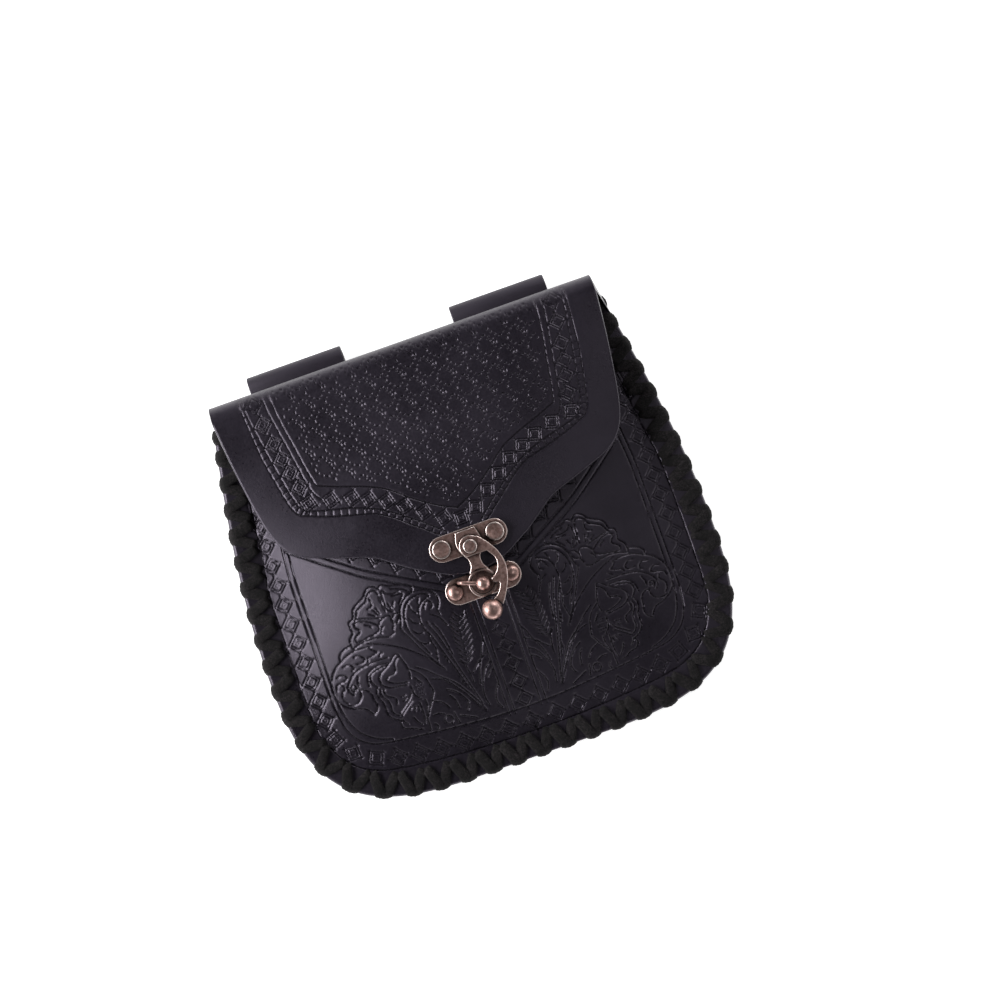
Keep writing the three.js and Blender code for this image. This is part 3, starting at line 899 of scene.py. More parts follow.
@dataclass
class FlapTooling:
    """What is tooled on the flap: a dotted field, a border of diamonds and a laddered line."""

    middle: float = -2.2
    ladder_left: Points = (
        (-82, 0), (-81, 10), (-80.3, 20), (-79.3, 30), (-77.5, 40), (-75.5, 50), (-74.2, 55), (-72.3, 59)
    )
    ladder_bottom_left: Points = (
        (-72.3, 59), (-70, 60.5), (-60, 64.5), (-50, 67.5), (-43, 69.3), (-38, 71), (-33, 74), (-29, 77),
        (-25, 80.5), (-20, 84.5), (-16, 88), (-11, 92)
    )
    diamonds_left: Points = (
        (-80, 0), (-79.3, 10), (-77.7, 20), (-76.2, 30), (-74.4, 40), (-72.3, 50), (-70.5, 56)
    )
    diamonds_bottom_left: Points = (
        (-70.5, 56), (-67, 59.3), (-60, 61.5), (-50, 64), (-44, 66), (-37, 69), (-30, 73.5), (-24, 78),
        (-20, 81), (-16, 84.5), (-10.5, 89.5)
    )
    diamonds_inner_left: Points = (
        (-70.7, 0), (-69.8, 10), (-68.2, 20), (-66.5, 30), (-65, 40), (-63.7, 47), (-62.3, 52), (-60, 56)
    )
    field_left: Points = ((-67.3, 0), (-66.6, 10), (-65.3, 20), (-63.7, 29), (-62, 40), (-60, 49.5))
    field_bottom_left: Points = (
        (-60, 49.5), (-50, 53.5), (-40, 57), (-30, 61.8), (-20, 70), (-10, 76.7), (-2.2, 80.5)
    )
    diamond_side: Points = (
        (-76, -3), (-75, 5), (-74, 15), (-72.3, 25), (-71, 33), (-69.3, 40), (-67.5, 47.7)
    )
    diamond_bottom: Points = (
        (-66, 56), (-56, 58), (-46.5, 60.5), (-39.5, 63.5), (-32, 67), (-25, 72), (-17.5, 77.5), (-10, 83)
    )
    diamond_half: float = 4.2
    bottom_lean: float = 28.0
    middle_diamond_down: float = 85.5
    rung_pitch: float = 3.6
    ring_across: float = 14.8
    ring_down: float = 14.0
    ring_first: tuple[float, float] = (5.6, 14.6)
    ring_half: float = 4.75
    ring_dots: int = 16
    ring_power: float = 0.78
    inner_share: float = 0.68
    field_margin: float = 2.2
    field_corner_down: float = 48.0

    def build(self) -> Tooling:
        """Charts the flap.

        Returns:
            Its tooling.
        """
        tooling = Tooling(height="flap_height", middle=self.middle)
        for line in (self.ladder_left, self.diamonds_left, self.diamonds_inner_left, self.field_left):
            tooling.grooves(line, width=1.05, depth=0.3)
        for line in (self.ladder_bottom_left, self.diamonds_bottom_left, self.field_bottom_left):
            tooling.grooves(line, width=1.1)
        self.rungs(tooling)
        for points, turn in ((self.diamond_side, 0.0), (self.diamond_bottom, self.bottom_lean)):
            for centre in points:
                tooling.lozenges(centre, self.diamond_half, turn)
        tooling.lozenge((self.middle, self.middle_diamond_down), self.diamond_half, 45.0)
        self.rings(tooling)
        return tooling

    def rungs(self, tooling: Tooling) -> None:
        """Presses the short strokes between the ladder's two lines.

        Args:
            tooling: what they are pressed into.
        """
        for ladder, inner, depth in (
            (self.ladder_left, self.diamonds_left, 0.25),
            (self.ladder_bottom_left, self.diamonds_bottom_left, 0.36),
        ):
            outer_path = smooth_path(ladder, 0.3)
            inner_path = smooth_path(inner, 0.3)
            run = run_along(outer_path)
            for place in np.arange(self.rung_pitch / 2, run[-1], self.rung_pitch):
                start = np.array([np.interp(place, run, outer_path[:, k]) for k in range(2)])
                end = inner_path[np.linalg.norm(inner_path - start, axis=1).argmin()]
                for rung in tooling.mirrored(np.stack([start, end])):
                    tooling.straight(rung, width=1.15, depth=depth)

    def rings(self, tooling: Tooling) -> None:
        """Presses rings of dots, staggered over the field.

        Args:
            tooling: what they are pressed into.
        """
        left = np.vstack([smooth_path(self.field_left, 3.0), smooth_path(self.field_bottom_left, 3.0)])
        left[:, 0] += self.field_margin
        left[:, 1] -= self.field_margin * (left[:, 1] > self.field_corner_down)
        right = (left * (-1, 1) + (2 * self.middle, 0))[::-1]
        outline = np.vstack([(left[0, 0], -20.0), left, right, (right[-1, 0], -20.0)])
        turn = 2 * math.pi * (np.arange(self.ring_dots) + 0.5) / self.ring_dots
        ring = bulged(turn, 2 * self.ring_power)
        upper_right = ring[(ring[:, 0] > 0.1) & (ring[:, 1] < 0.1)] * self.inner_share
        dots = np.vstack([ring, upper_right]) * self.ring_half
        for row in range(-3, 12):
            for column in range(-6, 7):
                centre = np.array([
                    self.ring_first[0] + self.ring_across * (column + 0.5 * (row % 2)),
                    self.ring_first[1] + self.ring_down * row / 2,
                ])
                places = dots + centre
                kept = places[inside(outline, places)]
                if len(kept):
                    tooling.pits(kept)


@dataclass
class FlowerChart:
    """The flowering branch tooled on the left half of the front; the right half is its mirror image.

    Each stroke is a run of places as the camera sees them: across from the fold's middle and down, by turns.
    """

    petals: tuple[Stroke, ...] = (
        (-71, 124.5, -70.5, 121.5, -68.3, 118.8, -68.8, 116, -68.3, 113.8, -66, 112.8, -65.3, 110.5,
         -64.3, 108.5, -61, 106.6, -58.2, 104.9, -57, 103.2, -54.6, 101.7, -52.5, 101.9, -51, 103.3),
        (-50.6, 103.6, -49, 102.5, -47.5, 102.8, -45.5, 104, -42, 104.6, -38.5, 105.8, -36.4, 107,
         -36.2, 109.3, -38.5, 110.6, -42, 113, -44.2, 116, -45.3, 120, -46.4, 123),
        (-65.5, 114, -64, 111.5, -63, 110, -60, 108.4, -58, 107.5, -57, 105.5, -55.5, 104.2, -53.2, 103.6,
         -52, 104.5, -51.6, 107, -51.4, 110, -51, 114.5),
        (-49.8, 105.5, -50.2, 108, -50.2, 112, -49.6, 114.3, -47.5, 115.6),
        (-49, 105.2, -47.5, 107, -45, 107.8, -42, 107.8),
        (-45.5, 105.4, -43, 106.2, -40, 107.5, -38, 109.4),
        (-46, 108.8, -43, 109, -41, 109.3, -41.8, 111, -44, 113.3),
        (-56.3, 105.8, -55.8, 108.2, -56.3, 110.2, -58.2, 110.8),
        (-64.8, 113.5, -61, 114.5, -57, 115.7, -54.5, 116.4),
        (-65, 114.8, -61, 115.9, -57.5, 118.1, -56, 119.8, -56.4, 121.5, -58.5, 122.6, -62, 123.1,
         -65.5, 123.7, -67.6, 123.6, -68.1, 122.3, -67.4, 121.2, -65.3, 119.8, -65.2, 118.2, -66.5, 116.8,
         -66.5, 115.5, -65.3, 114.9),
        (-61.8, 117.3, -60.3, 118, -59.3, 119),
        (-55.8, 119.3, -54, 117.6, -51.5, 116.7, -49.5, 117.2, -49.7, 119.3, -49.3, 121.5, -50.3, 123.4),
        (-56, 123.2, -55.7, 121.8, -54.4, 120.8),
        (-49.3, 120.6, -49, 118.6, -47.3, 117, -45.6, 117, -46, 119, -47.3, 120.8, -49.2, 120.7),
        (-70.5, 126, -66.5, 124.7, -62, 124.3, -57, 124.9, -53, 125.9, -50.5, 125),
        (-48.8, 111.5, -48, 113.8),
        (-46, 111.5, -47, 113.5),
        (-54.5, 111.8, -53.8, 114.8),
        (-56.2, 112, -54.6, 114.6),
        (-58.3, 113.3, -56, 114.9),
    )
    scroll: tuple[Stroke, ...] = (
        (-77.5, 129.5, -81, 131.5, -84, 135, -85.6, 139, -85.8, 143.5, -84.8, 147, -82.5, 149.7, -79, 152,
         -75, 153.2, -73, 155, -71.6, 157.5),
        (-74, 144.8, -71.5, 145.4, -69.8, 147.5, -69.3, 151, -68.7, 153.8, -69.5, 155.8, -71.6, 157.5),
        (-74, 144.8, -74.3, 147.5, -76, 149.6, -79, 150.3, -80.8, 149.7),
        (-57, 134.6, -62, 134.5, -68, 135, -73, 136.3, -76.5, 138.8, -78.5, 141.5, -78.7, 144, -77.3, 145.8),
        (-73.8, 142.7, -73.6, 140.5, -72.6, 138.3),
        (-76.6, 144.6, -77.5, 143.2, -76.6, 141.7, -75.2, 142.2, -75.2, 143.8, -76.2, 143.6),
        (-77.6, 129.7, -75, 128.3, -71, 127, -66, 126.9, -62.5, 127.5),
        (-77.9, 129.8, -77.7, 127.3, -76, 125.5, -73.5, 124.5, -71.2, 124.3, -70.5, 126),
        (-71.5, 129.6, -70, 129.4, -68.5, 130, -67.2, 131.4, -67.6, 132.8, -69.5, 133.3, -71.3, 133),
        (-77.8, 132.3, -75.5, 131.9, -73.8, 132.8, -73.2, 134.3, -74.3, 135.2),
        (-82, 136, -80, 135.5, -78.2, 136.2, -77.6, 137.6, -79, 138.4, -81.5, 138.8, -83.5, 139.7,
         -84, 141.5),
        (-80.6, 140.2, -80.2, 141.8, -81.8, 143.5, -82.5, 145.5, -82, 147.5, -81, 148.6),
        (-63.2, 128, -62, 129.5, -60.5, 130.6, -63, 131.6, -65.5, 132.1, -66, 133.3),
        (-60.3, 133.1, -59.7, 132.3, -58.7, 131.9),
    )
    blossom: tuple[Stroke, ...] = (
        (-58, 138.2, -60.5, 139.5, -62.8, 141, -64, 143, -63.8, 145),
        (-58.5, 138, -56.5, 137, -55, 135.6, -53.5, 134.7, -52.2, 134.6, -51.6, 136.5, -50.8, 139,
         -50.1, 141.5, -49.9, 144.3, -50.3, 147),
        (-61, 144.3, -59.5, 143, -56.8, 142.6, -55.6, 141.3, -55.2, 139, -53.7, 136.8, -52.5, 136.2),
        (-61, 144.6, -60, 145.6, -57.5, 146.9, -54.5, 147.8, -52, 148.2),
        (-64, 145.3, -62.5, 146.8, -60, 148.2, -56, 148.9, -52.5, 149.4),
        (-69.4, 144.3, -69, 141.5, -67.8, 139, -65, 137.3, -61, 136.7, -57.5, 136.8),
        (-67.8, 143.3, -67.6, 141, -66.3, 139.2, -63.5, 138.4, -60.3, 137.9),
        (-67.7, 143, -66.8, 144.7, -65.8, 146),
        (-66.4, 146.8, -67.2, 148.5, -66.9, 151, -65.8, 153.5, -65.7, 156.5, -65.5, 159.5, -64, 161.8,
         -62, 163.2, -60.5, 163.8),
        (-64.8, 147.4, -65.4, 149.2, -64.9, 151.2, -63.5, 153.3, -63, 156, -63.2, 158.3, -62.3, 160.5,
         -60.7, 161.5),
        (-63.3, 147.7, -63.9, 149, -63.4, 150.8, -62, 152, -60.4, 152.8, -59.6, 154.3, -60, 156),
        (-60, 160.3, -57, 158.2, -53.8, 155.8, -52.3, 153.5),
        (-59.7, 162, -56.3, 159.3, -53, 157),
        (-57, 153.7, -55, 153.4),
        (-56.8, 155.8, -55, 155),
        (-54.2, 159.8, -55.4, 160.7),
        (-52.4, 159.8, -53.4, 162),
        (-51.2, 160, -51.4, 162.3),
        (-60.6, 163.9, -61.4, 165.5, -61, 167.3, -59.5, 168.4, -57.5, 168.8, -56, 169.4, -54.5, 170.5,
         -52.8, 170.8),
        (-60, 163.5, -59.7, 165, -58.3, 166.5),
        (-55, 164.3, -53.8, 167, -52.3, 168.8),
        (-50.1, 158.5, -50, 162, -50.2, 166, -51, 169),
        (-47.3, 158.3, -47.2, 161, -48.2, 163.6, -49.1, 167, -49.2, 170, -49.5, 172.5),
        (-42.4, 156.4, -44.5, 160, -46.5, 163, -48.5, 166.3),
        (-51.3, 150.3, -51.4, 153.4, -50.3, 156, -48.6, 157.8),
        (-48.4, 147.3, -47.2, 149.2, -46, 150.8),
        (-46, 146, -44, 149, -43.2, 152, -42.4, 155.5),
    )
    stems: tuple[Stroke, ...] = (
        (-63.3, 125.6, -58.5, 127.6, -54, 129.8, -50, 132.1, -45.5, 135.5, -41.3, 139.3, -38, 143, -36, 146,
         -34, 148.3),
        (-50.2, 142.3, -47.5, 144.6, -45, 147.2),
        (-46.5, 143, -43, 145.5, -40, 148.3, -37, 151, -34, 153.5, -31, 156.5, -28.5, 160.3, -26, 164.3,
         -24, 168, -22.3, 172),
        (-41.5, 150.5, -37.5, 152, -34.5, 154.5, -31, 158.9, -28, 163.4, -25, 168.6, -22.6, 172.3),
        (-34.8, 125, -33.5, 129, -32, 133, -30.7, 138, -29.5, 143, -27.8, 150, -26, 157, -24.5, 163,
         -22.8, 169),
        (-36.3, 128.5, -34.6, 132.4, -33.2, 137, -31.7, 142, -29.6, 149, -27.6, 156, -26.5, 160),
        (-32.3, 127, -30.5, 131, -29.7, 135, -29, 139, -28.5, 143),
        (-24.4, 151, -23.9, 154, -23.6, 158),
        (-26.8, 147, -25, 149.3, -24.2, 151.5),
    )
    hook_leaf: tuple[Stroke, ...] = (
        (-45.8, 121, -44.8, 117, -43, 113.7, -40, 111.4, -36, 110.3, -32, 110.6, -29, 112, -27, 114.3,
         -26.3, 117, -27, 119.8, -28.3, 121.8, -27.8, 124),
        (-47, 124, -46.2, 126.5, -44.5, 129.5, -43, 133, -41, 137, -38.5, 141, -36, 145, -34, 148.3),
        (-44.2, 125, -43.8, 120.5, -42.4, 116.8, -40, 114, -36.5, 112.4, -33, 112.2, -30, 113.4),
        (-44.2, 124.6, -43.4, 128, -41.5, 132, -39.5, 136, -38, 139.5),
        (-29.8, 114.4, -32.5, 115.3, -35.3, 117.3, -36.9, 120.5, -37.2, 124, -36.8, 128, -35.8, 131.5,
         -35.8, 134.8),
        (-35.9, 134.5, -34.9, 137.5, -35.3, 141, -36, 144.5),
        (-34.6, 113.7, -35.7, 116, -35.2, 117.4),
        (-33.9, 119.4, -33, 117.5, -31.4, 116.2, -30, 117.3, -30, 119.4, -31.6, 120.3),
        (-31.7, 122.8, -30.4, 123.5, -28, 126, -26.3, 129.8),
        (-41.9, 121.3, -40.7, 123.4, -38.3, 124.6),
        (-42.2, 126.8, -40.3, 128.9, -38, 129.3),
        (-40.6, 133, -38.7, 134.4, -36.8, 134.6),
        (-40, 115.4, -39.4, 118, -38, 119.9),
        (-32.6, 142, -32, 144, -31.6, 145.8),
        (-28.6, 155.5, -28, 157.8),
    )
    grass: tuple[Stroke, ...] = (
        (-21, 160.3, -20, 156.3, -18.3, 152, -16.5, 148.3, -14.8, 144, -12.6, 140),
        (-20.3, 170.5, -21, 166, -20.5, 162, -18.4, 157.3, -16, 153.7, -12.8, 151.3),
        (-22.4, 154, -20, 152, -18.3, 150, -16.3, 148.9, -12.6, 146.6),
        (-17, 158.3, -15.3, 156.4, -12.7, 154.9),
        (-15, 173.6, -16.4, 170, -15.9, 167, -14.3, 164, -12.8, 161.6),
        (-46, 166.5, -43.5, 166.6, -41.3, 167.6),
        (-36.8, 168.3, -36.5, 171, -35.8, 173.3),
        (-36, 160.3, -34.4, 163, -33.7, 167.2),
        (-43.8, 160.5, -41, 161.8, -39, 163.8, -38, 165.5),
        (-29, 166, -29.5, 168.5, -30.4, 169.6),
        (-36.3, 157.3, -33, 159.5, -30.5, 162.5, -28.6, 166.2),
        (-34.5, 170.6, -31, 172.3, -27.5, 174),
        (-46.6, 170.3, -45.6, 172, -46.3, 173.2),
    )
    small_ring: tuple[tuple[float, float], float] = ((-40, 170.7), 1.9)
    seed_disc: tuple[tuple[float, float], tuple[float, float]] = ((-48.3, 152.6), (2.3, 4.3))
    fern_rib: Points = ((-24, 150), (-22.9, 145.5), (-22.2, 140), (-21.9, 135), (-21.2, 130.5), (-19.6, 127))
    fern_leaves: int = 10

    def build(self, tooling: Tooling) -> None:
        """Presses the branch and its mirror image.

        Args:
            tooling: what they are pressed into.
        """
        for strokes in (self.petals, self.scroll, self.blossom, self.stems, self.hook_leaf, self.grass):
            for stroke in strokes:
                self.press(tooling, stroke)
        (x, y), radius = self.small_ring
        turn = np.linspace(0, 2 * math.pi, 13)
        self.press(tooling, np.stack([x + radius * np.cos(turn), y + radius * np.sin(turn)], axis=1))
        self.fern(tooling)
        self.seeds(tooling)

    def press(
        self, tooling: Tooling, stroke: Union[Stroke, Points], width: float = 1.05, depth: float = 0.48
    ) -> None:
        """One stroke on both halves."""
        tooling.grooves(np.reshape(stroke, (-1, 2)), width, depth)

    def fern(self, tooling: Tooling) -> None:
        """A rib with leaves in pairs, and a dot at each right-hand tip.

        Args:
            tooling: what they are pressed into.
        """
        rib = smooth_path(self.fern_rib, 0.3)
        self.press(tooling, self.fern_rib, 1.0, 0.3)
        tips = []
        bow = np.array([0.2, 0.2])
        for share in np.linspace(0.04, 0.97, self.fern_leaves):
            foot = rib[int(share * (len(rib) - 1))]
            long = 3.2 + 2.4 * math.sin(math.pi * share)
            right = foot + (long * 0.85, -long * 0.55)
            left = foot + (-long * 0.6, -long * 0.75)
            self.press(tooling, np.stack([foot, (foot + right) / 2 + bow, right]), 1.1)
            self.press(tooling, np.stack([foot, (foot + left) / 2 + bow * (-1, 1), left]), 1.1)
            tips.append(right + (1.0, -0.2))
        self.dots(tooling, np.array(tips), 0.55)

    def seeds(self, tooling: Tooling) -> None:
        """A disc of small dots at the lower flower's heart.

        Args:
            tooling: what they are pressed into.
        """
        (x, y), (across, down) = self.seed_disc
        spots = [
            (x + dx + 0.5 * (k % 2), y + dy)
            for k, dy in enumerate(np.arange(-down, down + 0.1, 1.1))
            for dx in np.arange(-across, across + 0.1, 1.15)
            if (dx / across) ** 2 + (dy / down) ** 2 <= 1.05
        ]
        self.dots(tooling, np.array(spots), 0.5)

    def dots(self, tooling: Tooling, places: np.ndarray, radius: float) -> None:
        """Dots on both halves."""
        for side in tooling.mirrored(places):
            tooling.pits(side, radius, 0.38)


@dataclass
class FrontTooling:
    """What is tooled on the front: a border of diamonds, a middle band, slanting bands and flowers."""

    middle: float = -4.0
    outer_line: Points = (
        (-93.6, 50), (-94.6, 60), (-95.6, 70), (-97.5, 80), (-99, 90), (-99.3, 105), (-99.4, 130),
        (-99.3, 150), (-98.6, 158), (-96.2, 164.5), (-92.5, 171.5), (-87, 177.5), (-79, 182), (-68, 184.6),
        (-53, 186.3), (-38, 187.5), (-20, 188.4), (-4, 188.6)
    )
    inner_line: Points = (
        (-84, 50), (-85, 60), (-86.5, 75), (-87.6, 90), (-87.8, 120), (-87.8, 145), (-87.3, 153),
        (-86, 159.5), (-82.5, 165.5), (-76, 170), (-68, 171.7), (-55, 173.3), (-38, 175), (-20, 176.4),
        (-4, 176.8)
    )
    side_diamonds: tuple[float, float] = (40.0, 152.5)
    side_pitch: float = 9.37
    side_across: float = -93.7
    corner_diamonds: Points = ((-92.6, 162.3), (-86.8, 170.9), (-77.6, 176.4))
    bottom_diamonds: Points = (
        (-67.8, 179.3), (-57.8, 180.9), (-47.4, 182.1), (-36.8, 182.9), (-26.2, 183.5), (-15.5, 183.9)
    )
    diamond_half: float = 4.35
    band_lines: tuple[float, ...] = (-10.4, -13.0)
    band_top: float = 112.0
    band_middle: float = 145.0
    band_bottom: float = 178.0
    band_diamonds: tuple[float, ...] = (121.5, 130.3, 139.0, 147.5, 156.0, 164.7, 173.2)
    band_half: float = 4.1
    slant: Points = ((-85.3, 73.3), (-77.6, 79.3), (-64.2, 89.6), (-54.5, 96.6), (-38.3, 106), (-22, 115.2))
    slant_gap: tuple[float, float] = (1.1, -3.0)
    slant_diamonds: Points = (
        (-65, 78.5), (-56.3, 84.1), (-47.2, 89.4), (-38.4, 95.6), (-29.2, 101.3), (-20.4, 106.8)
    )
    second_line: Points = (
        (-81.6, 50), (-82.6, 60), (-84.1, 75), (-85.2, 90), (-85.4, 120), (-85.4, 145), (-84.8, 152.3),
        (-83, 158.4), (-79.6, 163.8), (-73.5, 168.3), (-67, 170.6)
    )
    slant_turn: float = 33.0
    corner_turns: tuple[float, ...] = (20.0, 45.0, 68.0)
    side_lean: float = 0.048
    side_lean_down: float = 90.0

    def build(self) -> Tooling:
        """Charts the front.

        Returns:
            Its tooling.
        """
        tooling = Tooling(height="front_height", middle=self.middle)
        for line in (self.outer_line, self.inner_line, self.second_line):
            tooling.grooves(line)
        self.border_diamonds(tooling)
        for across in self.band_lines:
            tooling.grooves(((across, self.band_top), (across, self.band_middle), (across, self.band_bottom)))
        for down in self.band_diamonds:
            tooling.lozenge((self.middle, down), self.band_half)
        tooling.grooves(self.slant)
        tooling.grooves(np.asarray(self.slant) + self.slant_gap)
        for centre in self.slant_diamonds:
            tooling.lozenges(centre, self.band_half, self.slant_turn)
        FlowerChart().build(tooling)
        return tooling

    def border_diamonds(self, tooling: Tooling) -> None:
        """Diamonds down both sides, round the corners and along the bottom.

        Args:
            tooling: what they are pressed into.
        """
        low, high = self.side_diamonds
        for down in np.arange(high, low, -self.side_pitch):
            lean = self.side_lean * max(self.side_lean_down - down, 0)
            tooling.lozenges((self.side_across + lean, down), self.diamond_half)
        for centre, turn in zip(self.corner_diamonds, self.corner_turns):
            tooling.lozenges(centre, self.diamond_half, turn)
        for centre in self.bottom_diamonds:
            tooling.lozenges(centre, self.diamond_half)
        tooling.lozenge((self.middle, self.bottom_diamonds[-1][1] + 0.2), self.diamond_half)


def side_shares(side: int, columns: int) -> np.ndarray:
    """Shares of the half width, from left to right, over the left (-1) or the right (1) half."""
    return np.linspace(min(side, 0.0), max(side, 0.0), columns)[None]


def edge_distance(border: np.ndarray, x: np.ndarray, down: np.ndarray) -> np.ndarray:
    """Distance of places from a border, up to RIM_REACH.

    Args:
        border: the border's points, across and down.
        x: places across.
        down: their distances below the fold.

    Returns:
        The distance of each.
    """
    places = np.stack([x.ravel(), down.ravel()], axis=1)
    result = np.full(len(places), RIM_REACH)
    part_points = 8
    for start in range(0, len(border) - 1, part_points):
        part = border[start : start + part_points + 1]
        low, high = part.min(0) - RIM_REACH, part.max(0) + RIM_REACH
        near = np.flatnonzero(((places > low) & (places < high)).all(1))
        if len(near):
            result[near] = np.minimum(result[near], distance_to(part, places[near]))
    return result.reshape(x.shape)


@dataclass
class TooledSheet:
    """A sheet of tooled leather, built in a left and a right half."""

    finishes: Finishes
    edge_radius: float = 1.1
    burnish_width: float = 0.65

    def press(
        self, name: str, node: str, skins: tuple[Skin, Skin], depth: np.ndarray, rim: np.ndarray
    ) -> None:
        """Presses and builds one half.

        Args:
            name: the piece's name.
            node: the solid that it stands for.
            skins: the fine outer skin and the plainer inner one.
            depth: how deep the outer skin is pressed at each place.
            rim: how far each of its places is from the rim.
        """
        outer, inner = skins
        top = outer.at(FORM.leather / 2 - depth - rounded(rim, self.edge_radius))
        bm = leather_wall(top, inner.at(np.full(inner.middle.shape[:2], -FORM.leather / 2)))
        values = {
            "tooling": np.clip(depth / FULL_PRESS, 0, 1).ravel(),
            "edge": np.clip(1.3 - rim / self.burnish_width, 0, 1).ravel(),
        }
        materials = [self.finishes.body, self.finishes.flesh]
        make_piece(bm, name, materials, Body.POUCH, [node], values=values)


@dataclass
class TooledFront(TooledSheet):
    """The crowned front panel, with its tooled face out."""

    columns: int = 262
    hidden_rows: int = 10
    shown_from: float = 52.0
    shown_rows: int = 350
    inner_hidden_rows: int = 8
    inner_shown_rows: int = 48
    inner_columns: int = 26
    edge_radius: float = 2.1
    burnish_width: float = 1.5
    bottom_share: float = 0.998

    def downs(self, hidden: int, shown: int) -> np.ndarray:
        """Rows from the mouth to the bottom.

        Args:
            hidden: how many rows lie behind the flap.
            shown: how many lie below it.

        Returns:
            Their distances down.
        """
        top = np.linspace(FORM.mouth_down, self.shown_from, hidden, endpoint=False)
        return np.concatenate([top, np.linspace(self.shown_from, FORM.height * self.bottom_share, shown)])

    def skin(self, downs: np.ndarray, columns: int, side: int) -> tuple[np.ndarray, np.ndarray, Skin]:
        """The skin of one half.

        Args:
            downs: its rows' distances down.
            columns: how many columns it has.
            side: -1 for the left and 1 for the right.

        Returns:
            Places across and down, and the skin over them.
        """
        share = side_shares(side, columns)
        down = np.repeat(downs[:, None], columns, axis=1)
        x = share * FORM.half(downs)[:, None]
        return x, down, sloped(x, down, FORM.front_height)

    def build(self) -> None:
        """Builds both halves."""
        tooling = FrontTooling().build()
        self.half(-1, "tooled_front_left", tooling)
        self.half(1, "tooled_front_right", tooling)

    def half(self, side: int, name: str, tooling: Tooling) -> None:
        """Builds one half.

        Args:
            side: -1 for the left and 1 for the right.
            name: the piece's name.
            tooling: what is pressed into it.
        """
        x, down, outer = self.skin(self.downs(self.hidden_rows, self.shown_rows), self.columns, side)
        inner_downs = self.downs(self.inner_hidden_rows, self.inner_shown_rows)
        _, _, inner = self.skin(inner_downs, self.inner_columns, side)
        path, _ = FORM.edge(FORM.mouth_down)
        border = np.vstack([path[0], path, path[-1], path[0]]) * (1, -1)
        rim = edge_distance(border, x, down)
        self.press(name, "front_panel", (outer, inner), tooling.depth_at(x, down), rim)


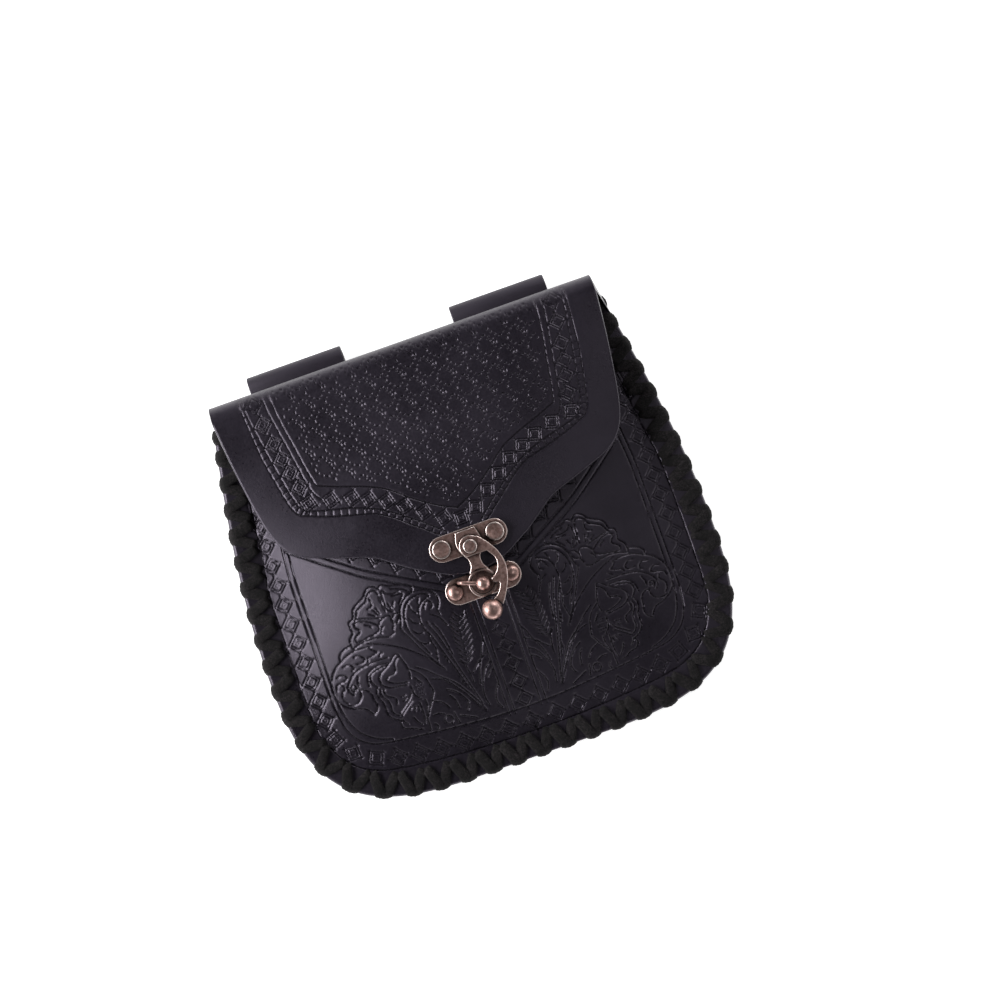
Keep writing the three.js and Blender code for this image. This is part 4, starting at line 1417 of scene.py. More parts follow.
@dataclass
class TooledBack(TooledSheet):
    """The back, which folds over as the tooled flap."""

    columns: int = 252
    back_rows: int = 24
    fold_rows: int = 36
    flap_rows: int = 300
    inner_rows: tuple[int, int, int] = (16, 10, 44)
    inner_columns: int = 24
    bottom_share: float = 0.998
    tooled_from: float = 0.4
    tooled_fade: float = 0.35
    outline: Points = (
        (1, 0.077), (0.977, 0.27), (0.946, 0.455), (0.919, 0.565), (0.891, 0.628), (0.854, 0.673),
        (0.817, 0.7), (0.768, 0.723), (0.698, 0.745), (0.606, 0.772), (0.514, 0.797), (0.454, 0.818),
        (0.406, 0.845), (0.351, 0.879), (0.297, 0.911), (0.243, 0.936), (0.189, 0.962), (0.13, 0.985),
        (0.054, 1)
    )

    def flap_edge(self) -> np.ndarray:
        """The flap's right-hand edge, across and down in millimetres."""
        size = (FORM.fold_width / 2, FORM.flap_length)
        return smooth_path(np.asarray(self.outline) * size, 0.4)

    def skin(
        self, rows: tuple[int, int, int], columns: int, side: int
    ) -> tuple[np.ndarray, np.ndarray, Skin]:
        """The skin of one half, up the back, round the fold and down the flap.

        Args:
            rows: how many rows the back, the fold and the flap have.
            columns: how many columns each row has.
            side: -1 for the left and 1 for the right.

        Returns:
            Places across and down, and the skin over them.
        """
        share = side_shares(side, columns)
        bottom = FORM.height * self.bottom_share
        back_down = np.linspace(bottom, FORM.fold_radius, rows[0], endpoint=False)[:, None]
        turn = np.linspace(0.0, math.pi, rows[1], endpoint=False)[:, None]
        middle_radius = FORM.fold_radius - FORM.leather / 2
        edge = self.flap_edge()
        flap_down = np.linspace(edge[0, 1], FORM.flap_length, rows[2])[:, None]
        half = np.interp(flap_down, edge[:, 1], edge[:, 0])
        ones = np.ones((1, columns))
        back_x = share * FORM.half(back_down)
        back = Skin(
            np.stack([back_x, -back_down * ones, np.full_like(back_x, FORM.leather / 2)], axis=-1),
            np.broadcast_to(np.array([0.0, 0.0, -1.0]), back_x.shape + (3,)),
        )
        fold_x = share * np.full_like(turn, FORM.fold_width / 2)
        fold_down = FORM.fold_radius - middle_radius * np.sin(turn) * ones
        fold_height = FORM.fold_radius - middle_radius * np.cos(turn) * ones
        fold = Skin(
            np.stack([fold_x, -fold_down, fold_height], axis=-1),
            np.stack([np.zeros_like(fold_x), np.sin(turn) * ones, -np.cos(turn) * ones], axis=-1),
        )
        flap_x = share * half
        flap = sloped(flap_x, flap_down * ones, FORM.flap_height)
        x = np.vstack([back_x, fold_x, flap_x])
        down = np.vstack([back_down * ones, fold_down, flap_down * ones])
        whole = Skin(
            np.concatenate([back.middle, fold.middle, flap.middle]),
            np.concatenate([back.outward, fold.outward, flap.outward]),
        )
        return x, down, whole

    def build(self) -> None:
        """Builds both halves."""
        tooling = FlapTooling().build()
        self.half(-1, "tooled_back_and_flap_left", tooling)
        self.half(1, "tooled_back_and_flap_right", tooling)

    def half(self, side: int, name: str, tooling: Tooling) -> None:
        """Builds one half, whose tooling fades in where the fold has turned to the front.

        Args:
            side: -1 for the left and 1 for the right.
            name: the piece's name.
            tooling: what is pressed into it.
        """
        x, down, outer = self.skin((self.back_rows, self.fold_rows, self.flap_rows), self.columns, side)
        _, _, inner = self.skin(self.inner_rows, self.inner_columns, side)
        shown = np.clip((outer.outward[..., 2] - self.tooled_from) / self.tooled_fade, 0.0, 1.0)
        rim = np.full(x.shape, RIM_REACH)
        flap = slice(self.back_rows + self.fold_rows, None)
        edge = self.flap_edge()
        rim[flap] = edge_distance(np.vstack([edge * (-1, 1), edge[::-1]]), x[flap], down[flap])
        back = slice(0, self.back_rows)
        body_edge, _ = FORM.edge(FORM.fold_radius)
        rim[back] = edge_distance(body_edge * (1, -1), x[back], down[back])
        rim[:, 0 if side < 0 else -1] = 0.0
        self.press(name, "back_and_flap", (outer, inner), tooling.depth_at(x, down) * shown, rim)


@dataclass
class EdgeLacing:
    """Flat suede lace that crosses over the edge from hole to hole, in front and behind."""

    finishes: Finishes
    seed: int = 7
    hole_pitch: float = 12.1
    hole_inset: float = 12.1
    first_turn: float = 7.5
    wrap_radius: float = 2.45
    wrap_centre: float = -2.75
    lace_width: float = 5.3
    hole_width: float = 4.3
    edge_spread: float = 2.2
    lace_thickness: float = 1.1
    edge_thinning: float = 0.15
    edge_drape: float = 1.15
    crossing_lift: float = 0.55
    hole_spread: float = 0.3
    sway_power: float = 1.12
    dive: float = 1.6
    first_margin: float = 4.0
    hole_ease: float = 4.2
    edge_reach: float = 1.6
    crossing_ease: float = 3.6
    dip_reach: float = 1.4
    lift_at_hole: float = 0.35
    steps: int = 30
    around: int = 12
    squareness: float = 0.95

    def section(self, wrap: np.ndarray, height: np.ndarray) -> tuple[np.ndarray, np.ndarray]:
        """Carries places round the rim into the pouch's frame.

        Args:
            wrap: places round the rim, from its edge, more than 0 in front.
            height: their heights over the leather.

        Returns:
            How far out of the edge, and how high, they are.
        """
        quarter = math.pi / 2 * self.wrap_radius
        turn = np.clip(wrap / self.wrap_radius, -math.pi / 2, math.pi / 2)
        beyond = np.maximum(np.abs(wrap) - quarter, 0.0)
        middle = (2 * FORM.leather + FORM.gap) / 2
        out = self.wrap_centre + np.cos(turn) * (self.wrap_radius + height) - beyond
        up = middle + np.sin(turn) * (self.wrap_radius + height)
        return out, up

    def ring(self) -> np.ndarray:
        """The lace's section: a flat oval, as shares of its half width and half thickness."""
        turn = np.linspace(0.0, 2 * math.pi, self.around + 1)
        return bulged(turn, self.squareness)

    def build(self) -> bpy.types.Object:
        """Builds the lacing.

        Returns:
            The piece.
        """
        dice = random.Random(self.seed)
        path, outward = FORM.edge(FORM.mouth_down - self.first_turn)
        run = run_along(path)
        inner_run = run_along(path - outward * self.hole_inset)
        margin = self.first_turn + self.first_margin
        count = int(round((inner_run[-1] - 2 * margin) / self.hole_pitch)) + 2
        places = np.linspace(margin, inner_run[-1] - margin, count - 1)
        places = np.concatenate([[places[0] - self.first_turn], places, [places[-1] + self.first_turn]])
        holes = np.interp(places, inner_run, run)
        bm = bmesh.new()
        for low, high in zip(holes[:-1], holes[1:]):
            self.lace(bm, (path, outward), high, low, 0.0, dice)
            self.lace(bm, (path, outward), low, high, self.crossing_lift, dice)
        close(bm)
        nodes = ["edge_lacing"]
        return make_piece(
            bm, "crossed_lacing", [self.finishes.lace], Body.POUCH, nodes, sharp_degrees=60.0
        )

    def lace(
        self,
        bm: bmesh.types.BMesh,
        rim: tuple[np.ndarray, np.ndarray],
        start: float,
        end: float,
        lift: float,
        dice: random.Random,
    ) -> None:
        """One length of lace from a front hole over the edge to a back hole.

        Args:
            bm: the bmesh that takes it.
            rim: the body's edge and its outward directions.
            start: where along the edge the front hole is.
            end: where along the edge the back hole is.
            lift: how far it is lifted where it crosses its neighbour at the edge.
            dice: small chances.
        """
        reach = math.pi / 2 * self.wrap_radius + self.hole_inset + self.wrap_centre
        toward = np.sign(end - start)
        share = np.linspace(0.0, 1.0, self.steps)
        wrap = reach * (1 - 2 * share)
        sway = np.sign(wrap) * np.abs(wrap / reach) ** self.sway_power
        half_way = (end - start) / 2 - toward * self.hole_spread
        along = (start + end) / 2 - half_way * sway
        from_hole = reach - np.abs(wrap)
        full_width = self.lace_width * dice.uniform(0.93, 1.07)
        over_edge = eased(1 - np.abs(wrap) / (self.edge_reach * self.wrap_radius))
        from_narrow = (full_width - self.hole_width) * eased(from_hole / self.hole_ease)
        half_width = (self.hole_width + from_narrow) / 2 + self.edge_spread / 2 * over_edge
        half_high = self.lace_thickness / 2 * (1 - self.edge_thinning * over_edge)
        dip = np.clip(1 - from_hole / self.dip_reach, 0.0, 1.0)
        rise = lift * (self.lift_at_hole + (1 - self.lift_at_hole) * eased(from_hole / self.crossing_ease))
        middle = half_high + rise - (self.dive + self.lace_thickness + lift) * dip
        twist = dice.uniform(-0.12, 0.12) + 0.1 * np.sin(share * math.pi * 2 + dice.uniform(0, 6))
        ring = self.ring()
        lean = np.gradient(along, share)[:, None] / (2 * reach)
        wide = half_width[:, None] * ring[None, :, 0]
        high = (half_high * (1 + 0.06 * np.sin(9 * share + lift)))[:, None] * ring[None, :, 1]
        drape = self.edge_drape * (over_edge * middle)[:, None] * ring[None, :, 0] ** 2
        height = middle[:, None] + high + wide * (twist * 0.5 * (1 - over_edge))[:, None] - drape
        out, up = self.section(wrap[:, None] + wide * lean / np.hypot(1, lean), height)
        path, outward = rim
        run = run_along(path)
        spot = np.clip(along[:, None] + wide / np.hypot(1, lean), 0.0, run[-1])
        foot = np.stack([np.interp(spot, run, path[:, k]) for k in range(2)], axis=-1)
        away = np.stack([np.interp(spot, run, outward[:, k]) for k in range(2)], axis=-1)
        add_grid(bm, np.concatenate([foot + away * out[..., None], up[..., None]], axis=-1))


@dataclass
class BeltLoop:
    """A strap folded over into a loop for the belt, and sewn down below it."""

    finishes: Finishes
    strap: float = 2.0
    width: float = 46.0
    spacing: float = 99.4
    rise: float = 9.0
    belt_space: float = 6.0
    belt_height: float = 42.0
    seam: float = 8.0
    lace_layer: float = 1.8
    lace_web: float = 2.2
    bevel: float = 0.55
    stitch_pitch: float = 3.4
    stitch_radius: float = 0.42
    stitch_shape: tuple[float, float, float] = (2.9, 1.0, 0.8)
    stitch_margins: tuple[float, float] = (2.0, 1.6)
    stitch_side_margin: float = 6.0
    stitch_turn: float = 0.12
    stitch_sink: float = 0.02

    @property
    def foot(self) -> float:
        """How far down the belt's space ends."""
        return -self.rise + self.strap + self.belt_height

    def face(self, down: float) -> float:
        """Height of the strap's outer face, which slopes so that the pouch rests on it and on the lacing.

        Args:
            down: a distance below the fold.

        Returns:
            The height there.
        """
        depth = FORM.gap + 2 * self.strap + self.belt_space
        run = FORM.height + FORM.gap + self.lace_web - self.foot
        return -depth - (depth - FORM.gap - self.lace_layer) / run * (self.foot - down)

    def section(self) -> tuple[list[tuple[float, float]], list[tuple[float, float]]]:
        """The strap seen from its side.

        Returns:
            Its outer and inner outlines, as y and z.
        """
        gap = FORM.gap
        top_down = -self.rise - self.face(-self.rise) / 2
        radius = (-gap - self.face(top_down)) / 2
        small = radius - self.strap
        seam_start = self.foot + self.belt_space
        seam_end = seam_start + self.seam
        under = -gap - 2 * self.strap
        knee = self.face(self.foot)
        outer = [(-seam_end, -gap), (-seam_end, under), (-seam_start, under), (-self.foot, knee)]
        inner = [(-seam_start, -gap - self.strap), (-self.foot, knee + self.strap)]
        for outline, reach in ((outer, radius), (inner, small)):
            for a in np.linspace(-math.pi / 2, math.pi / 2, 15):
                outline.append((-top_down + reach * math.cos(a), -gap - radius + reach * math.sin(a)))
        return outer, inner

    def build(self, side: int, name: str, node: str) -> bpy.types.Object:
        """Builds one loop.

        Args:
            side: -1 for the left and 1 for the right.
            name: the piece's name.
            node: the solid that it replaces.

        Returns:
            The piece.
        """
        outer, inner = self.section()
        middle = side * self.spacing / 2
        start = middle - self.width / 2
        bm = bmesh.new()
        loops = []
        for outline in (outer, inner):
            verts = [bm.verts.new((start, y, z)) for y, z in outline]
            loops += [bm.edges.new((a, b)) for a, b in zip(verts, verts[1:] + verts[:1])]
        fill = bmesh.ops.triangle_fill(bm, use_beauty=True, edges=loops)
        moved = bmesh.ops.extrude_face_region(bm, geom=made(fill["geom"], bmesh.types.BMFace))
        bmesh.ops.translate(bm, verts=made(moved["geom"], bmesh.types.BMVert), vec=(self.width, 0, 0))
        bmesh.ops.recalc_face_normals(bm, faces=bm.faces)
        flat = [f for f in bm.faces if abs(f.normal.x) > 0.9]
        bmesh.ops.dissolve_faces(bm, faces=[f for f in flat if f.calc_center_median().x > middle])
        bmesh.ops.dissolve_faces(bm, faces=[f for f in bm.faces if f.is_valid and f.normal.x < -0.9])
        rims = [e for e in bm.edges if len(e.link_faces) == 2 and e.calc_face_angle(0) > 0.9]
        soften(bm, rims, self.bevel, 2)
        self.stitches(bm, middle)
        materials = [self.finishes.strap, self.finishes.thread]
        return make_piece(bm, name, materials, Body.POUCH, [node], sharp_degrees=50.0)

    def stitches(self, bm: bmesh.types.BMesh, middle: float) -> None:
        """Two rows of stitches through the sewn end.

        Args:
            bm: the bmesh that takes them.
            middle: the strap's middle, across.
        """
        under = -FORM.gap - 2 * self.strap
        seam_start = -(self.foot + self.belt_space)
        low = seam_start - self.seam + self.stitch_margins[0]
        high = seam_start - self.stitch_margins[1]
        count = int((self.width - self.stitch_side_margin) // self.stitch_pitch)
        for y in (low, high):
            for k in range(count):
                x = middle + (k - (count - 1) / 2) * self.stitch_pitch
                verts = bmesh.ops.create_icosphere(bm, subdivisions=2, radius=self.stitch_radius)["verts"]
                bmesh.ops.scale(bm, verts=verts, vec=self.stitch_shape)
                bmesh.ops.rotate(bm, verts=verts, matrix=Matrix.Rotation(self.stitch_turn, 3, "Z"))
                bmesh.ops.translate(bm, verts=verts, vec=(x, y, under - self.stitch_sink))
                for face in {f for v in verts for f in v.link_faces}:
                    face.material_index = THREAD


def plate_solid(bm: bmesh.types.BMesh, outline: Points, low: float, high: float, bevel: float) -> None:
    """A flat plate with rounded edges, added to a bmesh.

    Args:
        bm: the bmesh that takes it.
        outline: its edge, in order.
        low: the height of its underside.
        high: the height of its top.
        bevel: how far its edges are rounded.
    """
    verts = [bm.verts.new((x, y, low)) for x, y in outline]
    face = bm.faces.new(verts)
    moved = bmesh.ops.extrude_face_region(bm, geom=[face])["geom"]
    bmesh.ops.translate(bm, verts=made(moved, bmesh.types.BMVert), vec=(0, 0, high - low))
    top = made(moved, bmesh.types.BMFace)[0]
    rims = list(top.edges) + list(face.edges)
    bent = soften(bm, rims, bevel, 3)
    flat = [f for f in {f for v in bent for f in v.link_faces} if len(f.verts) > 8]
    bmesh.ops.inset_individual(bm, faces=flat, thickness=bevel * 0.8)


def turned(bm: bmesh.types.BMesh, profile: Points, centre: tuple[float, float], steps: int = 40) -> None:
    """Adds a solid turned about an upright axis.

    Args:
        bm: the bmesh that takes it.
        profile: its radius and height, point by point.
        centre: the axis' place, x and y.
        steps: how many faces it has round.
    """
    verts = [bm.verts.new((centre[0] + radius, centre[1], z)) for radius, z in profile]
    around = {"cent": (*centre, 0), "axis": (0, 0, 1), "angle": 2 * math.pi}
    edges = [bm.edges.new(pair) for pair in zip(verts, verts[1:])]
    bmesh.ops.spin(bm, geom=verts + edges, steps=steps, use_merge=True, **around)


def stadium(length: float, width: float, centre_y: float, points: int = 16) -> list[tuple[float, float]]:
    """The outline of a bar with round ends.

    Args:
        length: its whole length, across.
        width: its width.
        centre_y: the height of its middle line in the pouch's frame.
        points: how many points each end has.

    Returns:
        The outline's points.
    """
    radius = width / 2
    reach = length / 2 - radius
    turn = np.linspace(-math.pi / 2, math.pi / 2, points)
    right = [(reach + radius * math.cos(a), centre_y + radius * math.sin(a)) for a in turn]
    left = [(-x, 2 * centre_y - y) for x, y in right]
    return right + left


def mark_wear(bm: bmesh.types.BMesh) -> None:
    """Marks raised edges, where the plate is rubbed bright: from none at least_bend to whole at full_bend.

    Args:
        bm: the piece's shape.
    """
    least_bend, full_bend = 0.34, 0.54
    layer = bm.verts.layers.float.new("wear")
    for vert in bm.verts:
        bends = [e.calc_face_angle_signed(0.0) for e in vert.link_edges if len(e.link_faces) == 2]
        share = (max(bends, default=0.0) - least_bend) / (full_bend - least_bend)
        vert[layer] = min(max(share, 0.0), 1.0)


@dataclass
class SwingClasp:
    """The swing clasp: a plate with a ring, a catch plate with its post, and the lever on its pivot."""

    finishes: Finishes
    plate_thickness: float = 1.4
    plate_centre: float = 2.7
    plate_rivets: float = 25.3
    plate_end: float = 5.65
    ring_down: float = 17.1
    ring_outer: float = 6.6
    ring_inner: float = 5.0
    catch_width: float = 12.2
    catch_centre: float = -17.6
    catch_rivets: float = 26.7
    catch_end: float = 4.5
    flat_head: tuple[float, float] = (4.2, 0.9)
    dome: tuple[float, float] = (3.7, 2.2)
    burr: tuple[float, float] = (3.2, 0.6)
    shank: float = 1.5
    post_ball: float = 3.3
    post_wire: float = 0.95
    post_inside_rivet: float = 3.1
    post_above_centre: float = 3.8
    lever_thickness: float = 1.6
    lever_boss: float = 5.0
    lever_ball: float = 4.65
    lever_ball_rise: float = 0.7
    lever_length: float = 29.9
    lever_sweep: float = 12.45
    pivot_head: tuple[float, float] = (3.2, 1.0)
    bevel: float = 0.42
    tongue_sink: float = 0.8
    ring_sink: float = 0.3
    section_power: float = 0.6
    boss_degrees: tuple[float, float] = (237.3, 55.0)
    tongue: Points = (
        (0.78, -0.45), (1, -0.16), (0.93, 0.02), (0.71, 0.19), (0.5, 0.31), (0.45, 0.43), (0.49, 0.53),
        (0.61, 0.61), (0.76, 0.68)
    )
    lever_outer: Points = (
        (0.47, -0.07), (0.871, 0.177), (1, 0.418), (0.892, 0.645), (0.655, 0.846), (0.438, 0.98)
    )
    lever_nose: Points = ((0.309, 0.826), (0.454, 0.763), (0.566, 0.672), (0.534, 0.639), (0.349, 0.622))
    lever_cut_end: tuple[float, float] = (0.165, 0.863)
    lever_spur: Points = (
        (0.341, 0.562), (0.518, 0.512), (0.663, 0.435), (0.727, 0.344), (0.695, 0.261), (0.514, 0.14)
    )

    @property
    def catch_base(self) -> float:
        """Height of the catch plate's underside."""
        return FORM.front_face + FORM.gap

    @property
    def plate_base(self) -> float:
        """Height of the clasp plate's underside."""
        return FORM.flap_top + FORM.leather / 2 + FORM.gap

    @property
    def tongue_top(self) -> float:
        """Height of the tongue's top."""
        return self.plate_base + 2 * self.plate_thickness

    @property
    def lever_base(self) -> float:
        """Height of the lever's underside."""
        return self.tongue_top + FORM.gap

    @property
    def lever_top(self) -> float:
        """Height of the lever's top."""
        return self.lever_base + self.lever_thickness

    def finish(self, bm: bmesh.types.BMesh, name: str, body: Body, nodes: list[str]) -> None:
        """Closes, wears and places one piece of the clasp.

        Args:
            bm: its shape, with the pivot at x and y of 0.
            name: its name.
            body: the body that it rides on.
            nodes: the solids that it stands for.
        """
        close(bm)
        mark_wear(bm)
        bmesh.ops.translate(bm, verts=bm.verts, vec=(0, -FORM.pivot_down, 0))
        make_piece(bm, name, [self.finishes.copper], body, nodes, sharp_degrees=50.0)

    def build(self) -> None:
        """Builds every piece."""
        self.plate()
        self.catch()
        self.lever()
        self.pivot()
        self.rivets()

    def plate(self) -> None:
        """The riveted plate with its raised tongue and ring."""
        bm = bmesh.new()
        bar = stadium(self.plate_rivets + 2 * self.plate_end, FORM.plate_width, self.plate_centre)
        plate_solid(bm, bar, self.plate_base, self.plate_base + self.plate_thickness, self.bevel)
        half = FORM.plate_width / 2
        right = smooth_path(np.array(self.tongue) * (half, -self.ring_down), 0.8)
        ring_middle = (self.ring_outer + self.ring_inner) / 2
        join = math.atan2(right[-1][1] + self.ring_down, right[-1][0])
        turn = np.linspace(join, math.pi - join, 18)
        hollow = np.stack([ring_middle * np.cos(turn), ring_middle * np.sin(turn) - self.ring_down], axis=1)
        left = (right * (-1, 1))[::-1]
        outline = np.vstack([right, hollow[1:-1], left])
        plate_solid(bm, outline, self.plate_base + self.tongue_sink, self.tongue_top, self.bevel)
        self.ring(bm)
        self.finish(bm, "plate_with_ring", Body.POUCH, ["clasp_plate"])

    def ring(self, bm: bmesh.types.BMesh) -> None:
        """The ring, turned from a rounded section.

        Args:
            bm: the bmesh that takes it.
        """
        low = self.plate_base + self.plate_thickness - self.ring_sink
        middle, half = (self.ring_outer + self.ring_inner) / 2, (self.ring_outer - self.ring_inner) / 2
        rise = (self.tongue_top - low) / 2
        turn = np.linspace(0.0, 2 * math.pi, 17)
        profile = bulged(turn, self.section_power) * (half, rise) + (middle, low + rise)
        turned(bm, profile, (0.0, -self.ring_down), 56)

    def catch(self) -> None:
        """The catch plate, whose post bends over the ring and carries a ball."""
        bm = bmesh.new()
        bar = stadium(self.catch_rivets + 2 * self.catch_end, self.catch_width, self.catch_centre)
        plate_solid(bm, bar, self.catch_base, self.catch_base + self.plate_thickness, self.bevel)
        foot_x = self.post_inside_rivet - self.catch_rivets / 2
        foot_y = self.catch_centre + self.post_above_centre
        level = self.tongue_top + FORM.gap + self.post_wire
        toward = np.array([-foot_x, self.catch_centre - foot_y, 0.0])
        toward /= np.linalg.norm(toward)
        bend = 2.2 * self.post_wire
        knee = np.array([foot_x, foot_y, level])
        route = smooth_path([
            (foot_x, foot_y, self.catch_base + 0.3),
            (foot_x, foot_y, level - bend * 1.4),
            tuple(knee - (0, 0, bend * 0.45) + toward * bend * 0.35),
            tuple(knee + toward * bend * 1.3),
            (0.0, self.catch_centre, level),
        ], 0.5)
        self.wire(bm, route, self.post_wire)
        middle = (self.lever_base + self.lever_top) / 2
        ball = bmesh.ops.create_uvsphere(bm, u_segments=32, v_segments=20, radius=self.post_ball)
        bmesh.ops.translate(bm, verts=ball["verts"], vec=(0, self.catch_centre, middle))
        self.finish(bm, "catch_with_post", Body.POUCH, ["catch_plate"])

    def wire(self, bm: bmesh.types.BMesh, route: np.ndarray, radius: float) -> None:
        """Adds a round wire along a route.

        Args:
            bm: the bmesh that takes it.
            route: its middle line.
            radius: its radius.
        """
        along = np.gradient(route, axis=0)
        along /= np.linalg.norm(along, axis=1)[:, None]
        side = np.cross(along, (0.3, 1.0, 0.1))
        side /= np.linalg.norm(side, axis=1)[:, None]
        up = np.cross(side, along)
        turn = np.linspace(0.0, 2 * math.pi, 21)
        ring = side[:, None] * np.cos(turn)[None, :, None] + up[:, None] * np.sin(turn)[None, :, None]
        add_grid(bm, route[:, None] + ring * radius)

    def lever(self) -> None:
        """The crescent lever with its boss, spur and ball."""
        size = (self.lever_sweep, -self.lever_length)
        turn = np.radians(np.linspace(*self.boss_degrees, 30))
        boss = np.stack([np.cos(turn), np.sin(turn)], axis=1) * self.lever_boss
        outer = smooth_path(np.vstack([boss[-1], np.array(self.lever_outer) * size]), 0.9)[1:]
        nose = smooth_path(np.array([self.lever_cut_end, *self.lever_nose]) * size, 0.8)
        spur = smooth_path(np.array(self.lever_spur) * size, 0.8)
        bm = bmesh.new()
        plate_solid(bm, np.vstack([boss, outer, nose, spur]), self.lever_base, self.lever_top, self.bevel)
        ball = bmesh.ops.create_uvsphere(bm, u_segments=40, v_segments=26, radius=self.lever_ball)
        height = (self.lever_base + self.lever_top) / 2 + self.lever_ball_rise
        bmesh.ops.translate(bm, verts=ball["verts"], vec=(0, -self.lever_length, height))
        self.finish(bm, "crescent_lever", Body.LEVER, ["clasp_lever"])

    def pivot(self) -> None:
        """The pivot, whose flat head stands on the lever's boss."""
        radius, height = self.pivot_head
        base = self.lever_top + 0.05
        top = self.lever_top + FORM.gap + height
        foot = [(0, self.plate_base), (self.shank, self.plate_base), (self.shank, base)]
        side = [(radius, base), (radius, top - 0.45), (radius - 0.2, top - 0.12)]
        face = [(radius - 0.55, top), (radius - 1.0, top - 0.1), (0, top - 0.05)]
        bm = bmesh.new()
        turned(bm, foot + side + face, (0.0, 0.0))
        self.finish(bm, "pivot_pin", Body.POUCH, ["clasp_pivot"])

    def rivets(self) -> None:
        """Two flat rivets on the flap and two domed ones on the front."""
        plate_top = self.plate_base + self.plate_thickness
        catch_top = self.catch_base + self.plate_thickness
        flat_radius, flat_height = self.flat_head
        dome_radius, dome_height = self.dome
        burr_radius, burr_height = self.burr
        reach = np.array([self.plate_rivets / 2 + burr_radius])
        flap_down = FORM.pivot_down - self.plate_centre - burr_radius
        flap_under = FORM.flap_height(reach, np.array([flap_down]))[0]
        reach = np.array([self.catch_rivets / 2 + burr_radius])
        front_down = FORM.pivot_down - self.catch_centre + burr_radius
        front_under = FORM.front_height(reach, np.array([front_down]))[0]
        top = plate_top + FORM.gap + flat_height
        flat = [(flat_radius, plate_top), (flat_radius, top - 0.4), (flat_radius - 0.15, top - 0.15),
                (flat_radius - 0.5, top), (flat_radius - 0.9, top - 0.12), (0, top - 0.2)]
        rise = dome_height + FORM.gap
        turn = np.linspace(0, math.pi / 2, 12)
        dome = [(dome_radius * math.cos(a), catch_top + rise * math.sin(a)) for a in turn]
        dome = [(dome_radius + 0.15, catch_top - 0.1)] + dome[:-1] + [(0, catch_top + rise)]
        kinds = (
            ("flap_rivet", flat, self.plate_rivets, self.plate_centre, flap_under),
            ("catch_rivet", dome, self.catch_rivets, self.catch_centre, front_under),
        )
        for kind, head, spacing, y, under in kinds:
            burr_top = under - FORM.leather / 2 - FORM.gap
            burr_foot = burr_top - burr_height
            foot = [(0, burr_foot), (burr_radius, burr_foot), (burr_radius, burr_top)]
            foot += [(self.shank, burr_top), (self.shank, head[0][1])]
            for side, word in ((-1, "left"), (1, "right")):
                bm = bmesh.new()
                turned(bm, foot + head, (side * spacing / 2, y))
                self.finish(bm, f"{kind}_{word}_turned", Body.POUCH, [f"{kind}_{word}"])


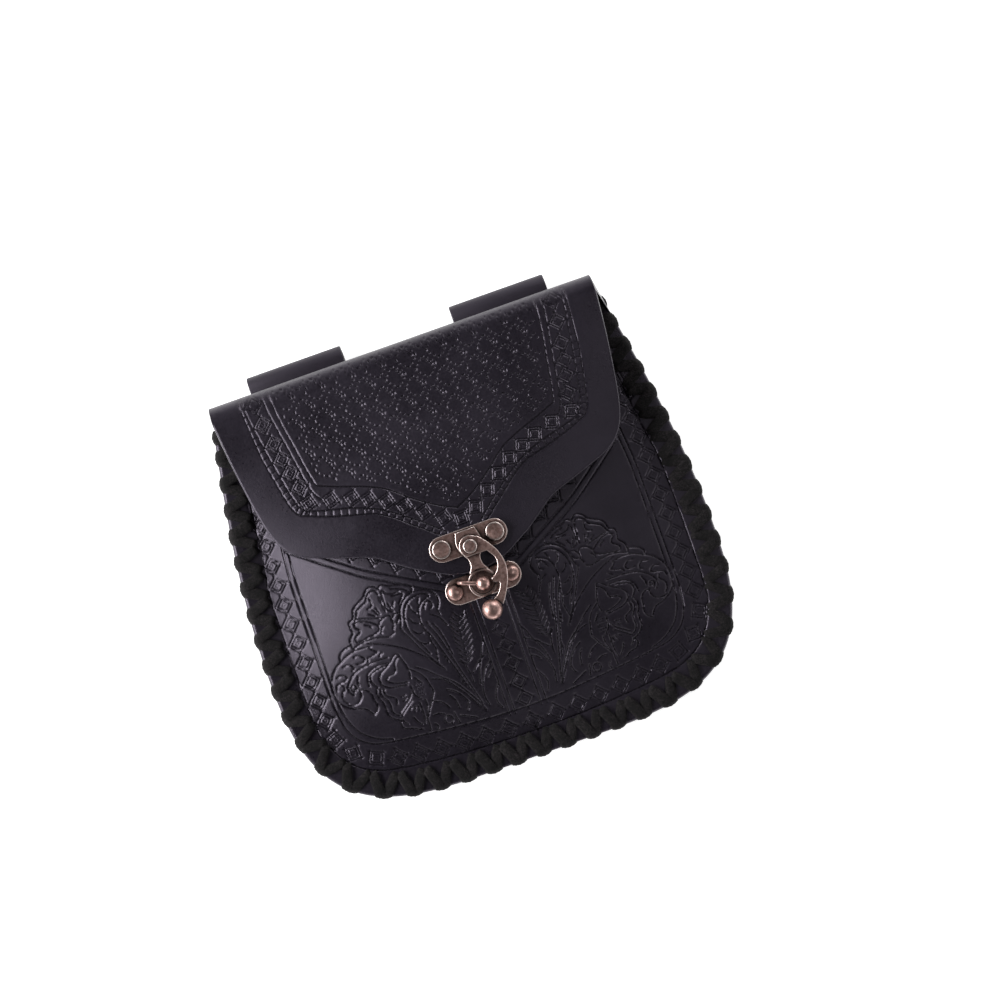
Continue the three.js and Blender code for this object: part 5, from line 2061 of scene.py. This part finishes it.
@dataclass
class Studio:
    """The pale floor, the soft lights and the camera over the pouch."""

    roll_degrees: float = 19.5
    across: float = 19.5
    down: float = 83.7
    away: float = 1086.0
    lens: float = 85.0
    sensor: float = 36.0
    floor_size: float = 6.0
    horizon: float = 0.65
    zenith: float = 0.035
    floor_glow: float = 0.85
    floor_colour: Colour = (0.92, 0.92, 0.91, 1.0)
    bands: tuple[float, float] = (0.12, 0.7)
    lamps: tuple[tuple[str, tuple[float, float, float], float, float, float], ...] = (
        ("key", (-1.32, -0.05, 0.74), 34.0, 1.5, 0.6),
        ("top", (0.5, 1.5, 0.6), 7.0, 0.9, 0.5),
        ("right", (1.5, 0.0, 0.45), 1.5, 0.6, 0.6),
        ("over", (0.42, 0.15, 1.1), 0.8, 0.45, 0.45),
    )

    def build(self) -> None:
        """Builds the stage."""
        self.camera()
        self.floor()
        self.lights()
        self.sky()
        bpy.context.scene.view_settings.view_transform = "Standard"

    def view_place(self) -> Matrix:
        """Works out where the camera is, square on to the pouch and rolled as the photograph is.

        Returns:
            Its place and turn in the row frame.
        """
        _, turn, _ = LIE.decompose()
        place = LIE @ Vector((self.across, -self.down, FORM.rim + self.away))
        roll = Matrix.Rotation(-math.radians(self.roll_degrees), 4, "Z")
        return Matrix.Translation(place) @ turn.to_matrix().to_4x4() @ roll

    def camera(self) -> None:
        """The camera, square on to the pouch."""
        data = bpy.data.cameras.new("view")
        data.lens = self.lens
        data.sensor_width = self.sensor
        camera = bpy.data.objects.new("view", data)
        camera.matrix_world = self.view_place()
        bpy.context.scene.collection.objects.link(camera)
        bpy.context.scene.camera = camera

    def floor(self) -> None:
        """A plain pale floor."""
        bm = bmesh.new()
        bmesh.ops.create_grid(bm, x_segments=1, y_segments=1, size=self.floor_size / 2)
        mesh = bpy.data.meshes.new("floor")
        bm.to_mesh(mesh)
        bm.free()
        material, _, shader, _ = new_material("pale floor")
        shader.inputs["Base Color"].default_value = self.floor_colour
        shader.inputs["Roughness"].default_value = 0.9
        shader.inputs["Emission Color"].default_value = WHITE
        shader.inputs["Emission Strength"].default_value = self.floor_glow
        mesh.materials.append(material)
        floor = bpy.data.objects.new("floor", mesh)
        bpy.context.scene.collection.objects.link(floor)

    def lights(self) -> None:
        """Places the lamps, each a soft panel turned to the pouch: a key, two fills and one overhead."""
        view = self.view_place()
        basis = view.to_3x3()
        target = LIE @ Vector((0.0, -self.down, 0.0))
        for name, toward, power, across, high in self.lamps:
            data = bpy.data.lights.new(name, "AREA")
            data.energy = power
            data.shape = "RECTANGLE"
            data.size = across
            data.size_y = high
            lamp = bpy.data.objects.new(name, data)
            place = target + basis @ Vector(toward)
            lamp.location = place
            lamp.rotation_euler = (target - place).to_track_quat("-Z", "Y").to_euler()
            bpy.context.scene.collection.objects.link(lamp)

    def sky(self) -> None:
        """An even sky that is bright round the horizon and dim overhead, as in a light tent."""
        world = bpy.data.worlds.new("sky")
        world.use_nodes = True
        n = Nodes(world.node_tree)
        height = n.add("SeparateXYZ", None, Vector=n.add("TexCoord").outputs["Generated"]).outputs["Z"]
        background = world.node_tree.nodes["Background"]
        n.feed(background.inputs["Strength"], n.ramp(height, self.horizon, self.zenith, *self.bands))
        background.inputs["Color"].default_value = WHITE
        bpy.context.scene.world = world


def main() -> None:
    """Builds the pouch in order, then the studio round it."""
    logging.basicConfig(level=logging.INFO, format="%(message)s")
    Studio().build()
    finishes = Finishes.build()
    TooledBack(finishes).build()
    TooledFront(finishes).build()
    EdgeLacing(finishes).build()
    for side, word in ((-1, "left"), (1, "right")):
        BeltLoop(finishes).build(side, f"strap_loop_{word}", f"belt_loop_{word}")
    SwingClasp(finishes).build()


if __name__ == "__main__":
    main()
